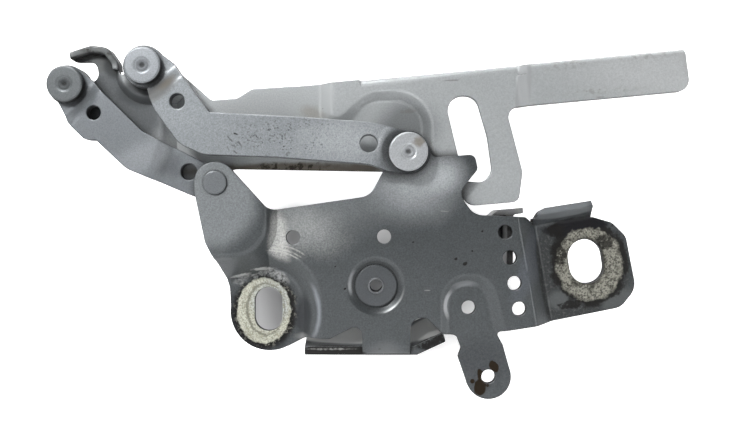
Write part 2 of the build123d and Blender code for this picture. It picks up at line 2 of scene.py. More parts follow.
# # A bonnet hinge, dressed for its picture
# The real object is a stamped steel hinge from a car, with two brackets, two cranked links and
# four riveted pivots. Its shape is already made: the frame below brings it in, one object for each
# piece. What is left to make here is the look: coatings, bare zinc, dirt, wear, a smear of old
# sealant, painted highlights and painted shade laid into the colours, and a plain studio.

# %% Load the frame
import math
import bpy
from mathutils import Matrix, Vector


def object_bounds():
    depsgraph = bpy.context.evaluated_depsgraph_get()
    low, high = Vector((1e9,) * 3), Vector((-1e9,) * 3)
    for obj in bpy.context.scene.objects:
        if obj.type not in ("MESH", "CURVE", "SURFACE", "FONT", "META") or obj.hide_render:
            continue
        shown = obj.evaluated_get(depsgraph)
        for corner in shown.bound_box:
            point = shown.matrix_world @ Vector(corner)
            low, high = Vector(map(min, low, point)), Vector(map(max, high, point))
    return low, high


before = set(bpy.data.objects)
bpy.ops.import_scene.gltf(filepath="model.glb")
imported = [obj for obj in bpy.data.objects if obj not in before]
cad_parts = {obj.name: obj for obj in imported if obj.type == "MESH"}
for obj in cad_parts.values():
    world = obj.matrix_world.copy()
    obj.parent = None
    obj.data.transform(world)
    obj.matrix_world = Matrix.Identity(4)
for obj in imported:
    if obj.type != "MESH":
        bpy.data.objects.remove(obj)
cad_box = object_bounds()
print("pieces in the frame:", len(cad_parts))

# %% [markdown]
# ## Units
# Everything is in metres, but a hinge is easier to think about in millimetres. One small helper
# turns a list of millimetres into metres, so that the places below read like a drawing.

# %% Millimetres
MM = 0.001


def mm(*values):
    return tuple(v * MM for v in values)


low, high = cad_box
print("overall size in mm:", [round((h - l) / MM, 1) for l, h in zip(low, high)])

# %% [markdown]
# ## The camera
# The photographer stood square in front of the base plate, a little over a third of a metre away.
# A camera that looks along +Y from there gives the same perspective: near pieces are slightly
# larger than far ones, which is why the heads of the rivets hide part of what lies behind them.

# %% Camera
camera_data = bpy.data.cameras.new("studio_camera")
camera_data.lens = 38.1
camera_data.sensor_width = 36.0
camera_data.clip_start = 0.01
camera = bpy.data.objects.new("studio_camera", camera_data)
camera.location = mm(45.5, -361.5, 40.5)
camera.rotation_euler = (math.radians(90), 0, 0)
bpy.context.scene.collection.objects.link(camera)
bpy.context.scene.camera = camera
print("camera at", [round(v, 4) for v in camera.location])

# %% [markdown]
# ## Building node trees by hand and by code
# A material is a small network. Dragging nodes about is the best way to find a look, and code is
# the best way to keep it. These helpers add a node, fill its sockets and join it to the next one.
# A value that is itself a socket becomes a link, and any other value is typed into the socket.

# %% Node helpers
def fill(tree, socket, value):
    if isinstance(value, bpy.types.NodeSocket):
        tree.links.new(value, socket)
    elif value is not None:
        socket.default_value = value


def put(tree, kind, sockets=None, **settings):
    node = tree.nodes.new(kind)
    for name, value in settings.items():
        setattr(node, name, value)
    for name, value in (sockets or {}).items():
        fill(tree, node.inputs[name], value)
    return node


def calc(tree, operation, a, b=None, c=None, clamp=False):
    node = put(tree, "ShaderNodeMath", operation=operation, use_clamp=clamp)
    for socket, value in zip(node.inputs, (a, b, c)):
        fill(tree, socket, value)
    return node.outputs[0]


def vector_calc(tree, operation, a, b=None):
    node = put(tree, "ShaderNodeVectorMath", operation=operation)
    fill(tree, node.inputs[0], a)
    fill(tree, node.inputs[1], b)
    return node.outputs["Value"] if operation in ("LENGTH", "DOT_PRODUCT") else node.outputs[0]


def mix_colour(tree, share, a, b, blend="MIX"):
    node = put(tree, "ShaderNodeMix", data_type="RGBA", blend_type=blend)
    fill(tree, node.inputs["Factor"], share)
    fill(tree, node.inputs[6], a)
    fill(tree, node.inputs[7], b)
    return node.outputs[2]


def ramp_value(tree, value, start, end, low=0.0, high=1.0, smooth=True):
    node = put(tree, "ShaderNodeMapRange", interpolation_type="SMOOTHSTEP" if smooth else "LINEAR")
    for name, given in (("Value", value), ("From Min", start), ("From Max", end),
                        ("To Min", low), ("To Max", high)):
        fill(tree, node.inputs[name], given)
    return node.outputs[0]


def noise(tree, place, scale, detail=3.0, rough=0.55, warp=0.0):
    node = put(tree, "ShaderNodeTexNoise",
               {"Vector": place, "Scale": scale, "Detail": detail, "Roughness": rough,
                "Distortion": warp})
    return node.outputs["Fac"]


def new_group(name, inputs, outputs):
    """A shader group with named sockets: inputs and outputs are (name, kind, start value)."""
    group = bpy.data.node_groups.new(name, "ShaderNodeTree")
    for label, kind, start in inputs:
        socket = group.interface.new_socket(label, in_out="INPUT", socket_type="NodeSocket" + kind)
        if start is not None:
            socket.default_value = start
    for label, kind, start in outputs:
        group.interface.new_socket(label, in_out="OUTPUT", socket_type="NodeSocket" + kind)
    return group, group.nodes.new("NodeGroupInput").outputs, group.nodes.new("NodeGroupOutput").inputs


def use_group(tree, group, sockets):
    node = put(tree, "ShaderNodeGroup", node_tree=group)
    for name, value in sockets.items():
        fill(tree, node.inputs[name], value)
    return node.outputs


print("node helpers ready")

# %% [markdown]
# ## Effect 1: coating
# Stamped steel parts are dipped and sprayed by the thousand. The film pools a little here and
# there, so its tone drifts in soft clouds, and close up it has the fine pimples that painters call
# orange peel. The group gives back the tinted colour, a roughness and a height for the bump.

# %% Coating group
coating, given, result = new_group(
    "coating",
    [("Colour", "Color", (0.3, 0.3, 0.3, 1)), ("Cloud Scale", "Float", 45.0),
     ("Cloud Amount", "Float", 0.12), ("Peel Scale", "Float", 900.0),
     ("Peel Amount", "Float", 0.06), ("Roughness", "Float", 0.45)],
    [("Colour", "Color", None), ("Roughness", "Float", None), ("Height", "Float", None)])
place = put(coating, "ShaderNodeTexCoord").outputs["Object"]
clouds = noise(coating, place, given["Cloud Scale"], 4.0, 0.6, 0.4)
peel = noise(coating, place, given["Peel Scale"], 2.0, 0.5)
cloud_share = calc(coating, "MULTIPLY", calc(coating, "SUBTRACT", clouds, 0.5), given["Cloud Amount"])
peel_share = calc(coating, "MULTIPLY", calc(coating, "SUBTRACT", peel, 0.5), given["Peel Amount"])
drift = calc(coating, "MULTIPLY", calc(coating, "ADD", cloud_share, peel_share), 2.0)
tone = calc(coating, "ADD", 1.0, drift)
scaled = put(coating, "ShaderNodeVectorMath", operation="SCALE")
fill(coating, scaled.inputs[0], given["Colour"])
fill(coating, scaled.inputs["Scale"], tone)
fill(coating, result["Colour"], scaled.outputs[0])
fill(coating, result["Roughness"],
     calc(coating, "ADD", given["Roughness"], calc(coating, "MULTIPLY", cloud_share, 0.8), clamp=True))
fill(coating, result["Height"], calc(coating, "ADD", peel, calc(coating, "MULTIPLY", clouds, 0.15)))
print("coating group:", len(coating.nodes), "nodes")

# %% [markdown]
# ## Effect 2: patch
# Dirt, wear, stains and painted light and shade sit in particular places. A patch is a soft blob
# round a centre, with its own reach along X, Y and Z and a ragged rim: the distance from the centre
# is disturbed by noise before it is cut off. The same group makes a thumb-sized painted highlight
# and a pin-sized fleck.

# %% Patch group
patch, given, result = new_group(
    "patch",
    [("Centre", "Vector", (0, 0, 0)), ("Reach", "Vector", (0.01, 0.01, 0.01)),
     ("Turn", "Float", 0.0), ("Ragged", "Float", 0.3), ("Grain", "Float", 300.0),
     ("Soft", "Float", 0.3)],
    [("Mask", "Float", None)])
place = put(patch, "ShaderNodeTexCoord").outputs["Object"]
offset = vector_calc(patch, "SUBTRACT", place, given["Centre"])
turned = put(patch, "ShaderNodeVectorRotate", {"Vector": offset, "Angle": given["Turn"]},
             rotation_type="Y_AXIS").outputs[0]
away = vector_calc(patch, "LENGTH", vector_calc(patch, "DIVIDE", turned, given["Reach"]))
rim_noise = calc(patch, "SUBTRACT", noise(patch, place, given["Grain"], 4.0, 0.65), 0.5)
waver = calc(patch, "MULTIPLY", calc(patch, "MULTIPLY", rim_noise, 2.0), given["Ragged"])
away = calc(patch, "ADD", away, waver)
fill(patch, result["Mask"],
     ramp_value(patch, away, calc(patch, "SUBTRACT", 1.0, given["Soft"]), 1.0, 1.0, 0.0))
print("patch group:", len(patch.nodes), "nodes")

# %% [markdown]
# ## Effect 3: rounded edges with painted edge light and shade
# No pressed edge is a perfect corner. The Bevel node looks a short way round each point and gives
# back a rounded normal, so edges catch the light. Where that normal differs from the true one there
# is an edge. Upper edges get a painted highlight, broken up by noise, and lower edges a painted dark
# line of shade.

# %% Edge group
edges, given, result = new_group(
    "edges",
    [("Radius", "Float", 0.0004), ("Grain", "Float", 500.0)],
    [("Normal", "Vector", None), ("Edge Highlight", "Float", None), ("Edge Shade", "Float", None)])
rounded = put(edges, "ShaderNodeBevel", {"Radius": given["Radius"]}, samples=6).outputs[0]
true_normal = put(edges, "ShaderNodeNewGeometry").outputs["Normal"]
place = put(edges, "ShaderNodeTexCoord").outputs["Object"]
turn = calc(edges, "SUBTRACT", 1.0, vector_calc(edges, "DOT_PRODUCT", rounded, true_normal))
broken = noise(edges, place, given["Grain"], 3.0, 0.6)
fill(edges, result["Normal"], rounded)
rim = ramp_value(edges, turn, 0.015, 0.14)
upward = vector_calc(edges, "DOT_PRODUCT", rounded, (-0.2, 0.0, 0.95))
fill(edges, result["Edge Highlight"],
     calc(edges, "MULTIPLY", calc(edges, "MULTIPLY", rim, ramp_value(edges, upward, 0.12, 0.5)),
          ramp_value(edges, broken, 0.25, 0.55)))
fill(edges, result["Edge Shade"], calc(edges, "MULTIPLY", rim, ramp_value(edges, upward, -0.40, 0.05, 1.0, 0.0)))
print("edge group:", len(edges.nodes), "nodes")

# %% [markdown]
# ## Effect 4: cut faces
# A blanking die tears the last part of the sheet's thickness, so cut faces are rougher and darker
# than the rolled faces. They are the faces whose normal is at right angles to the sheet, which on
# this object means that it has almost no Y in it.

# %% Cut face group
cut_faces, given, result = new_group(
    "cut_faces", [("Grain", "Float", 900.0)], [("Mask", "Float", None), ("Height", "Float", None)])
coordinates = put(cut_faces, "ShaderNodeTexCoord").outputs
split = put(cut_faces, "ShaderNodeSeparateXYZ", {"Vector": coordinates["Normal"]}).outputs
sideways = calc(cut_faces, "ABSOLUTE", split["Y"])
stretched = put(cut_faces, "ShaderNodeMapping", {"Vector": coordinates["Object"], "Scale": (1, 0.25, 1)})
torn = noise(cut_faces, stretched.outputs[0], given["Grain"], 3.0, 0.6)
fill(cut_faces, result["Mask"], ramp_value(cut_faces, sideways, 0.12, 0.3, 1.0, 0.0))
fill(cut_faces, result["Height"], torn)
print("cut face group:", len(cut_faces.nodes), "nodes")

# %% [markdown]
# ## Effect 5: pits and specks
# The links were shot-blasted before they were coated, and one of them has rusted a little under
# its film. Voronoi cells give separate small spots: a spot is where the distance to the nearest
# cell point is short. A second noise thins them out so that they gather in clusters.

# %% Pit group
pits, given, result = new_group(
    "pits",
    [("Scale", "Float", 900.0), ("Size", "Float", 0.25), ("Share", "Float", 0.5),
     ("Cluster Scale", "Float", 80.0)],
    [("Mask", "Float", None)])
place = put(pits, "ShaderNodeTexCoord").outputs["Object"]
cells = put(pits, "ShaderNodeTexVoronoi", {"Vector": place, "Scale": given["Scale"]}).outputs["Distance"]
spot = ramp_value(pits, cells, calc(pits, "MULTIPLY", given["Size"], 0.6), given["Size"], 1.0, 0.0)
gather = noise(pits, place, given["Cluster Scale"], 3.0, 0.6)
kept = ramp_value(pits, gather, calc(pits, "SUBTRACT", 1.0, given["Share"]),
                  calc(pits, "SUBTRACT", 1.1, given["Share"]))
fill(pits, result["Mask"], calc(pits, "MULTIPLY", spot, kept))
print("pit group:", len(pits.nodes), "nodes")

# %% [markdown]
# ## Effect 6: crevices
# Where two pieces almost touch, little light gets in and old dirt stays. The Ambient Occlusion node
# looks a short way round each point and says how open it is. Its dark end becomes a mask for a
# thin black line, painted shade and grime together, under the rivet heads and along the links.

# %% Crevice group
crevices, given, result = new_group(
    "crevices", [("Reach", "Float", 0.004), ("Start", "Float", 0.75), ("End", "Float", 0.35)],
    [("Mask", "Float", None)])
opened = put(crevices, "ShaderNodeAmbientOcclusion", {"Distance": given["Reach"]}, samples=8)
narrow = ramp_value(crevices, opened.outputs["AO"], given["End"], given["Start"], 1.0, 0.0, False)
fill(crevices, result["Mask"], narrow)
print("crevice group:", len(crevices.nodes), "nodes")

# %% [markdown]
# ## One recipe for every metal piece
# All the pieces share one build-up: a coating, then layers laid over it one by one. Each layer has
# a mask, a colour and a roughness, like tape and spray. The recipe is a small class that remembers
# the colour, roughness and height so far and joins them to the Principled shader at the end.

# %% Finish recipe
COAT_WEIGHT = 0.3
COAT_ROUGHNESS = 0.26
SPECULAR_LEVEL = 0.22
FILM_HEIGHT = 0.04 * MM
CREVICE_REACH = 6.0
CREVICE_START, CREVICE_END = 0.90, 0.45
# Black for the painted shade along lower edges.
EDGE_SHADE_BLACK = (0.016, 0.016, 0.018)


class Finish:
    def __init__(self, name, colour, roughness, metallic, **tones):
        self.material = bpy.data.materials.new(name)
        self.material.use_nodes = True
        self.tree = self.material.node_tree
        self.tree.nodes.clear()
        self.shader = put(self.tree, "ShaderNodeBsdfPrincipled")
        self.shader.inputs["Metallic"].default_value = metallic
        self.shader.inputs["Coat Roughness"].default_value = COAT_ROUGHNESS
        self.shader.inputs["Specular IOR Level"].default_value = SPECULAR_LEVEL
        out = put(self.tree, "ShaderNodeOutputMaterial")
        self.tree.links.new(self.shader.outputs[0], out.inputs[0])
        values = {"Colour": (*colour, 1), "Roughness": roughness}
        values.update({key.replace("_", " ").title(): value for key, value in tones.items()})
        base = use_group(self.tree, coating, values)
        self.colour, self.roughness, self.height = base["Colour"], base["Roughness"], base["Height"]
        self.height = calc(self.tree, "MULTIPLY", self.height, FILM_HEIGHT)

    def lay(self, mask, colour=None, roughness=None, height=None, strength=1.0):
        """One more layer: where the mask is 1 it covers what lies below by its strength."""
        share = calc(self.tree, "MULTIPLY", mask, strength, clamp=True)
        if colour is not None:
            colour = (*colour, 1) if isinstance(colour, tuple) else colour
            self.colour = mix_colour(self.tree, share, self.colour, colour)
        if roughness is not None:
            mixed = put(self.tree, "ShaderNodeMix", data_type="FLOAT")
            fill(self.tree, mixed.inputs[0], share)
            fill(self.tree, mixed.inputs[2], self.roughness)
            fill(self.tree, mixed.inputs[3], roughness)
            self.roughness = mixed.outputs[0]
        if height is not None:
            raised = calc(self.tree, "MULTIPLY", share, height)
            self.height = calc(self.tree, "ADD", self.height, raised)

    def patch(self, centre, reach, turn=0.0, ragged=0.3, grain=300.0, soft=0.3):
        sockets = {"Centre": mm(*centre), "Reach": mm(*reach), "Turn": math.radians(turn),
                   "Ragged": ragged, "Grain": grain, "Soft": soft}
        return use_group(self.tree, patch, sockets)["Mask"]

    def pits(self, scale, size, share, cluster):
        sockets = {"Scale": scale, "Size": size, "Share": share, "Cluster Scale": cluster}
        return use_group(self.tree, pits, sockets)["Mask"]

    def noise(self, scale, start, end, detail=4.0):
        place = put(self.tree, "ShaderNodeTexCoord").outputs["Object"]
        return ramp_value(self.tree, noise(self.tree, place, scale, detail, 0.6), start, end)

    def both(self, first, second):
        return calc(self.tree, "MULTIPLY", first, second)

    def without(self, first, second):
        return calc(self.tree, "MULTIPLY", first, calc(self.tree, "SUBTRACT", 1.0, second, clamp=True))

    def either(self, first, second):
        return calc(self.tree, "MAXIMUM", first, second)

    def nearer_than(self, depth):
        """1 in front of a depth in millimetres, 0 behind it."""
        place = put(self.tree, "ShaderNodeTexCoord").outputs["Object"]
        split = put(self.tree, "ShaderNodeSeparateXYZ", {"Vector": place}).outputs
        return ramp_value(self.tree, split["Y"], depth * MM, (depth + 0.3) * MM, 1.0, 0.0)

    def crevice(self, reach, start, end):
        """1 deep in a narrow place, 0 in the open; reach in millimetres."""
        return use_group(self.tree, crevices, {"Reach": reach * MM, "Start": start, "End": end})["Mask"]

    def grain(self, scale, amount):
        """Fine speckle of a blasted or sprayed skin, darker and lighter by the amount."""
        place = put(self.tree, "ShaderNodeTexCoord").outputs["Object"]
        fine = noise(self.tree, place, scale, 3.0, 0.7)
        tone = ramp_value(self.tree, fine, 0.3, 0.7, 1.0 - amount, 1.0 + amount, False)
        scaled = put(self.tree, "ShaderNodeVectorMath", operation="SCALE")
        fill(self.tree, scaled.inputs[0], self.colour)
        fill(self.tree, scaled.inputs["Scale"], tone)
        self.colour = scaled.outputs[0]

    def front_side(self):
        """1 on faces turned to the viewer's side, 0 on the back of the sheet."""
        normal = put(self.tree, "ShaderNodeTexCoord").outputs["Normal"]
        split = put(self.tree, "ShaderNodeSeparateXYZ", {"Vector": normal}).outputs
        return ramp_value(self.tree, split["Y"], -0.15, 0.0, 1.0, 0.0)

    def cut(self, colour, roughness=0.7, strength=0.85, where=None):
        torn = use_group(self.tree, cut_faces, {"Grain": 900.0})
        mask = torn["Mask"] if where is None else self.both(torn["Mask"], where)
        self.lay(mask, colour, roughness, None, strength)

    def finish(self, edge_radius=0.0004, edge_highlight_colour=(0.5, 0.5, 0.5), edge_highlight=0.4, clean=0.0):
        """Painted shade with grime in the crevices, except where clean is 1, then painted edge light and
        shade, then the shader.
        """
        # Painted shade and grime together, where the crevice mask finds little open space.
        crevice_shade_and_grime = self.without(self.crevice(CREVICE_REACH, CREVICE_START, CREVICE_END), clean)
        self.lay(crevice_shade_and_grime, GRIME_AND_SHADE, 0.8, None, 0.85)
        rim = use_group(self.tree, edges, {"Radius": edge_radius, "Grain": 500.0})
        # Painted shade along lower edges, then a painted highlight along upper edges.
        self.lay(rim["Edge Shade"], EDGE_SHADE_BLACK, 0.7, None, 0.9)
        self.lay(rim["Edge Highlight"], edge_highlight_colour, 0.3, None, edge_highlight)
        lift = put(self.tree, "ShaderNodeBump",
                   {"Height": self.height, "Normal": rim["Normal"], "Strength": 1.0, "Distance": 1.0})
        fill(self.tree, self.shader.inputs["Base Color"], self.colour)
        fill(self.tree, self.shader.inputs["Roughness"], self.roughness)
        gloss = ramp_value(self.tree, self.roughness, 0.45, 0.65, 1.0, 0.0)
        fill(self.tree, self.shader.inputs["Coat Weight"], calc(self.tree, "MULTIPLY", gloss, COAT_WEIGHT))
        fill(self.tree, self.shader.inputs["Normal"], lift.outputs[0])
        return self.material


print("finish recipe ready")

# %% [markdown]
# ## Colours
# Colours are written in the shader's own linear values, from 0 to 1. Grey steel looks lively when
# each grey leans a little: blue in the coatings, yellow in bare zinc, brown in old dirt.

# %% Palette
PLATE_GREY = (0.074, 0.081, 0.085)
PLATE_MID = (0.175, 0.187, 0.193)
PLATE_PALE = (0.60, 0.63, 0.65)
PLATE_SHINE = (0.62, 0.62, 0.60)
BONNET_GREY = (0.40, 0.418, 0.425)
BONNET_PALE = (0.52, 0.535, 0.54)
BONNET_SHADE = (0.14, 0.149, 0.152)
LINK_GREY = (0.24, 0.257, 0.27)
LINK_PALE = (0.39, 0.41, 0.425)
DARK_HEAD_GREY = (0.125, 0.135, 0.14)
ZINC_YELLOW = (0.60, 0.605, 0.515)
ZINC_BLUE = (0.47, 0.51, 0.53)
OLIVE_GRIT = (0.355, 0.35, 0.30)
# Black for real grime, and for the painted shade in crevices.
GRIME_AND_SHADE = (0.016, 0.015, 0.014)
# Brown for road dust together with painted shade on the bonnet bracket's lower strip.
BROWN_DIRT_AND_SHADE = (0.10, 0.08, 0.055)
BROWN_STAIN = (0.016, 0.009, 0.003)
SEALANT = (0.42, 0.43, 0.425)
print("palette ready")

# %% [markdown]
# ## The base plate
# This is the darkest piece: a thick grey coating. Light is painted into it: lighter at the upper
# left and over the tab, a painted reflection and highlight at the top of the lug, a painted glare
# highlight beside the upper left hole, painted shade on the tab's ramp, painted light on the front
# ramp, and painted shade on the arm at the lower right. Round each body slot a washer has crushed
# the coating off and left bare zinc, with old grime packed round it.

# %% Base plate finish
PLATE_BACK = -7.9
REAR_PAD_CENTRE = (0.0, -10, -1.0)
plate = Finish("base_plate_finish", PLATE_GREY, 0.36, 0.45, cloud_amount=0.10, peel_amount=0.03)
# Painted light: a lighter cloud over the upper left of the plate.
upper_left_light = plate.patch((26, -11, 47), (46, 8, 22), 8, 0.15, 50, 0.9)
plate.lay(upper_left_light, PLATE_MID, 0.38, None, 0.95)
# Painted reflection: a broad pale cloud over the lug.
lug_reflection = plate.patch((66, -10, 60), (30, 14, 26), -20, 0.12, 50, 0.9)
plate.lay(lug_reflection, (0.385, 0.405, 0.418), 0.42, None, 0.95)
# Painted highlight: a brighter spot at the top of the lug.
lug_light = plate.patch((79, -10, 61), (15, 14, 11), 10, 0.15, 70, 0.9)
plate.lay(lug_light, PLATE_PALE, 0.42, None, 0.55)
# Painted light: the tab is lighter than the rest of the plate.
tab_light = plate.patch((-22, -16, 50), (24, 4.5, 28), 0, 0.12, 60, 0.35)
plate.lay(tab_light, (0.21, 0.225, 0.233), 0.42, None, 0.95)
# Painted shade: the ramp round the tab is nearly black.
tab_ramp = plate.patch((3.5, -12, 40), (7, 7, 22), 12, 0.10, 60, 0.5)
plate.lay(tab_ramp, (0.03, 0.032, 0.034), 0.5, None, 0.8)
# Painted light: a bluish lighter band on the front ramp.
front_ramp = plate.patch((117.5, -7, 18), (8, 7, 30), -22, 0.12, 90, 0.4)
plate.lay(front_ramp, (0.10, 0.11, 0.125), 0.4, None, 0.8)
# Painted shade: the arm at the lower right is darker.
arm_dark = plate.patch((98, -9, -24), (18, 6, 17), 0, 0.15, 60, 0.7)
plate.lay(arm_dark, (0.055, 0.06, 0.065), 0.4, None, 0.9)
plate.grain(1500.0, 0.24)
front_side = plate.front_side()
# Painted highlight: a lamp's glare on the orange peel beside the upper left hole, with its bump.
shine = plate.both(plate.patch((18, -11, 37), (27, 8, 17), -12, 0.2, 90, 1.0), front_side)
plate.lay(shine, (0.26, 0.27, 0.272), 0.3, None, 0.65)
plate.lay(plate.both(shine, plate.noise(1500, 0.34, 0.66)), (0.42, 0.43, 0.42), 0.28, 0.00016, 0.5)
# Painted highlight: a brighter glare on the ridge beside the tab.
ridge = plate.both(plate.patch((5.2, -11, 33.0), (7.0, 6, 17.5), 8, 0.2, 150, 0.7), front_side)
plate.lay(ridge, (0.38, 0.385, 0.375), 0.28, None, 0.8)
plate.lay(plate.both(ridge, plate.noise(1300, 0.36, 0.62)), PLATE_SHINE, 0.26, 0.00018, 0.65)
# Pale streaks across the glare: scuffs on the crest, laid in the tone of the painted highlight.
streak_zone = plate.patch((9, -11, 27), (13, 7, 6.5), 20, 0.3, 160, 0.4)
for reach in (32.0, 30.2, 28.9):
    outer = plate.patch(REAR_PAD_CENTRE, (reach, 30, reach), 0, 0.012, 120, 0.012)
    inner = plate.patch(REAR_PAD_CENTRE, (reach - 0.7, 30, reach - 0.7), 0, 0.012, 120, 0.012)
    arc = plate.both(plate.both(plate.without(outer, inner), streak_zone), front_side)
    plate.lay(plate.both(arc, plate.noise(700, 0.30, 0.55)), (0.50, 0.50, 0.47), 0.28, 0.00008, 0.6)
print("plate tones laid")

# %% [markdown]
# Every pressed step has a crest that catches the lamps. A painted highlight arc is the space
# between two round patches, kept only on the side where the real one shines: beside the rear pad,
# round the nut's dimple, and on the left of the raised button.

# %% Painted highlight arcs
for x, z, inner_reach, outer_reach, zone, zone_reach, tone, strength in (
        (0.0, -1.0, 23.9, 25.6, (23, -1), (7, 20), (0.27, 0.29, 0.32), 0.75),
        (49.6, 11.4, 12.5, 13.3, (57.5, 3.5), (9.5, 10.5), (0.36, 0.37, 0.37), 0.7),
        (49.6, 11.4, 11.8, 13.2, (37.5, 14.0), (4, 9), (0.26, 0.27, 0.28), 0.6),
        (90.5, 1.8, 9.4, 11.2, (80.5, 4.0), (5.0, 10), (0.42, 0.43, 0.44), 0.65),
        (90.5, 1.8, 9.4, 12.2, (88.0, 13.0), (10, 5), (0.22, 0.23, 0.24), 0.5)):
    # Painted highlight: each arc is laid only on the lit side of its crest.
    whole = plate.patch((x, -10, z), (outer_reach, 30, outer_reach), 0, 0.03, 150, 0.08)
    hollow = plate.patch((x, -10, z), (inner_reach, 30, inner_reach), 0, 0.03, 150, 0.08)
    side = plate.patch((zone[0], -10, zone[1]), (zone_reach[0], 8, zone_reach[1]), 0, 0.2, 120, 0.7)
    arc = plate.both(plate.both(plate.without(whole, hollow), side), front_side)
    plate.lay(arc, tone, 0.32, None, strength)
print("arcs rubbed")

# %% [markdown]
# The pale ring at the rear slot is bare zinc, yellow on the left and below, bluish inside on the
# right. It is speckled like frost. Black grime fills the step round it, and above it lies a rough
# pale band of old sealant, which is the space between two patches, broken up by noise. Two thin
# painted highlights run along the band's upper edge.

# %% Rear pad
pad_soot = plate.patch((-3.5, -2, -3.5), (19.5, 6, 20.5), 0, 0.10, 120, 0.35)
plate.lay(pad_soot, (0.014, 0.014, 0.016), 0.8, None, 0.92)
rear_grime = plate.patch((-1.5, -2, -0.8), (16.4, 6, 18.6), 0, 0.16, 220, 0.16)
plate.lay(rear_grime, GRIME_AND_SHADE, 0.75, 0.00010, 0.95)
crumbs = plate.both(plate.both(rear_grime, plate.noise(520, 0.54, 0.62)), front_side)
plate.lay(crumbs, (0.26, 0.255, 0.22), 0.6, 0.00020, 0.6)
pad_right = plate.patch((16.5, -5, -3), (5.5, 6, 13), 0, 0.15, 120, 0.5)
plate.lay(pad_right, (0.03, 0.033, 0.037), 0.4, None, 0.85)
band_outer = plate.patch((-3.0, -3.0, 0.5), (17.5, 4, 20.5), 0, 0.14, 240, 0.10)
band_inner = plate.patch((-3.0, -3.0, -2.5), (15.8, 4, 20.1), 0, 0.20, 260, 0.12)
band_top = plate.patch((-3.0, -3.0, 17.5), (19, 4, 9.5), 0, 0.25, 160, 0.4)
band = plate.both(plate.both(plate.without(band_outer, band_inner), band_top), front_side)
plate.lay(plate.both(band, plate.noise(520, 0.37, 0.51)), SEALANT, 0.55, 0.00035, 0.85)
plate.lay(plate.both(band, plate.noise(1300, 0.46, 0.60)), (0.09, 0.09, 0.088), 0.7, -0.00022, 0.6)
for x, z, length, turn in ((-13.0, 15.4, 6.5, 14), (-2.0, 18.6, 6.5, 3)):
    # Painted highlight: a thin bright line on the sealant's upper edge.
    sealant_highlight = plate.both(plate.patch((x, -7, z), (length, 7, 1.0), turn, 0.6, 420, 0.6), front_side)
    plate.lay(sealant_highlight, (0.60, 0.61, 0.60), 0.45, 0.00015, 0.7)
rear_ring = plate.patch((-2.2, -3.5, -0.8), (12.6, 3.0, 15.4), 0, 0.10, 320, 0.06)
plate.lay(rear_ring, ZINC_YELLOW, 0.5, 0.00014, 1.0)
blue_side = plate.patch((1.5, -3.5, 3), (11.5, 3.0, 12.5), 0, 0.3, 90, 0.5)
plate.lay(plate.both(rear_ring, blue_side), ZINC_BLUE, 0.45, None, 0.7)
frost = plate.noise(1500, 0.42, 0.62)
plate.lay(plate.both(rear_ring, frost), (0.24, 0.235, 0.18), 0.65, -0.00012, 0.75)
scab = plate.noise(420, 0.52, 0.62)
plate.lay(plate.both(rear_ring, scab), (0.34, 0.33, 0.25), 0.65, -0.00010, 0.5)
groove_outer = plate.patch((-1.4, -3.5, 0), (9.4, 3.0, 12.8), 0, 0.10, 300, 0.08)
groove_inner = plate.patch((-1.0, -3.5, 0), (8.5, 3.0, 11.9), 0, 0.10, 300, 0.08)
plate.lay(plate.without(groove_outer, groove_inner), (0.16, 0.155, 0.12), 0.7, -0.00010, 0.7)
print("rear pad laid")

# %% [markdown]
# The front slot's ring is older: an olive grit with black grains, and grime caked under the short
# flange and down both sides. Right under the flange the black is grime and painted shadow together.

# %% Front pad
pad_dark = plate.patch((140, -3, 14), (32, 4.5, 34), 0, 0.12, 90, 0.3)
plate.lay(pad_dark, (0.035, 0.038, 0.039), 0.45, None, 0.95)
pad_scuff = plate.both(pad_dark, plate.noise(850, 0.50, 0.64))
plate.lay(pad_scuff, (0.11, 0.112, 0.108), 0.6, 0.00008, 0.5)
for x, z, wide, tall in ((160.5, 4.5, 12, 8), (133.5, 4.0, 7, 6)):
    corner = plate.patch((x, -3.5, z), (wide, 3, tall), 8, 0.2, 120, 0.6)
    plate.lay(corner, (0.105, 0.112, 0.113), 0.45, None, 0.7)
front_grime = plate.patch((147.5, -3, 21.5), (19.0, 6, 21.4), 8, 0.24, 230, 0.12)
plate.lay(front_grime, GRIME_AND_SHADE, 0.8, 0.00008, 0.9)
# Grime and painted shadow: nearly black right under the short flange.
under_flange = plate.patch((141, -4, 38), (17, 5, 5), 8, 0.25, 200, 0.3)
plate.lay(under_flange, (0.006, 0.006, 0.008), 0.5, 0.00012, 0.97)
front_ring = plate.patch((147.6, -3.5, 20.6), (15.8, 3.0, 17.6), 8, 0.16, 240, 0.10)
plate.lay(front_ring, OLIVE_GRIT, 0.7, 0.00016, 0.95)
clods = plate.noise(300, 0.48, 0.60)
plate.lay(plate.both(front_ring, clods), (0.10, 0.097, 0.08), 0.8, -0.00018, 0.55)
grit = plate.noise(1300, 0.46, 0.60)
plate.lay(plate.both(front_ring, grit), GRIME_AND_SHADE, 0.8, -0.00014, 0.7)
for x, z, wide, tall in ((134.0, 25.5, 3.4, 6.5), (154.5, 31.0, 4.6, 4.4), (132.5, 36.0, 5.0, 3.6),
                         (139.0, 2.0, 6.0, 2.2)):
    blotch = plate.patch((x, -3.5, z), (wide, 4, tall), 8, 0.9, 330, 0.3)
    plate.lay(plate.both(blotch, plate.noise(700, 0.3, 0.5)), GRIME_AND_SHADE, 0.8, -0.00006, 0.85)
slot_rim = plate.patch((146.3, -3.5, 22), (9.4, 3.0, 11.7), 9, 0.12, 260, 0.12)
plate.lay(slot_rim, GRIME_AND_SHADE, 0.8, None, 0.75)
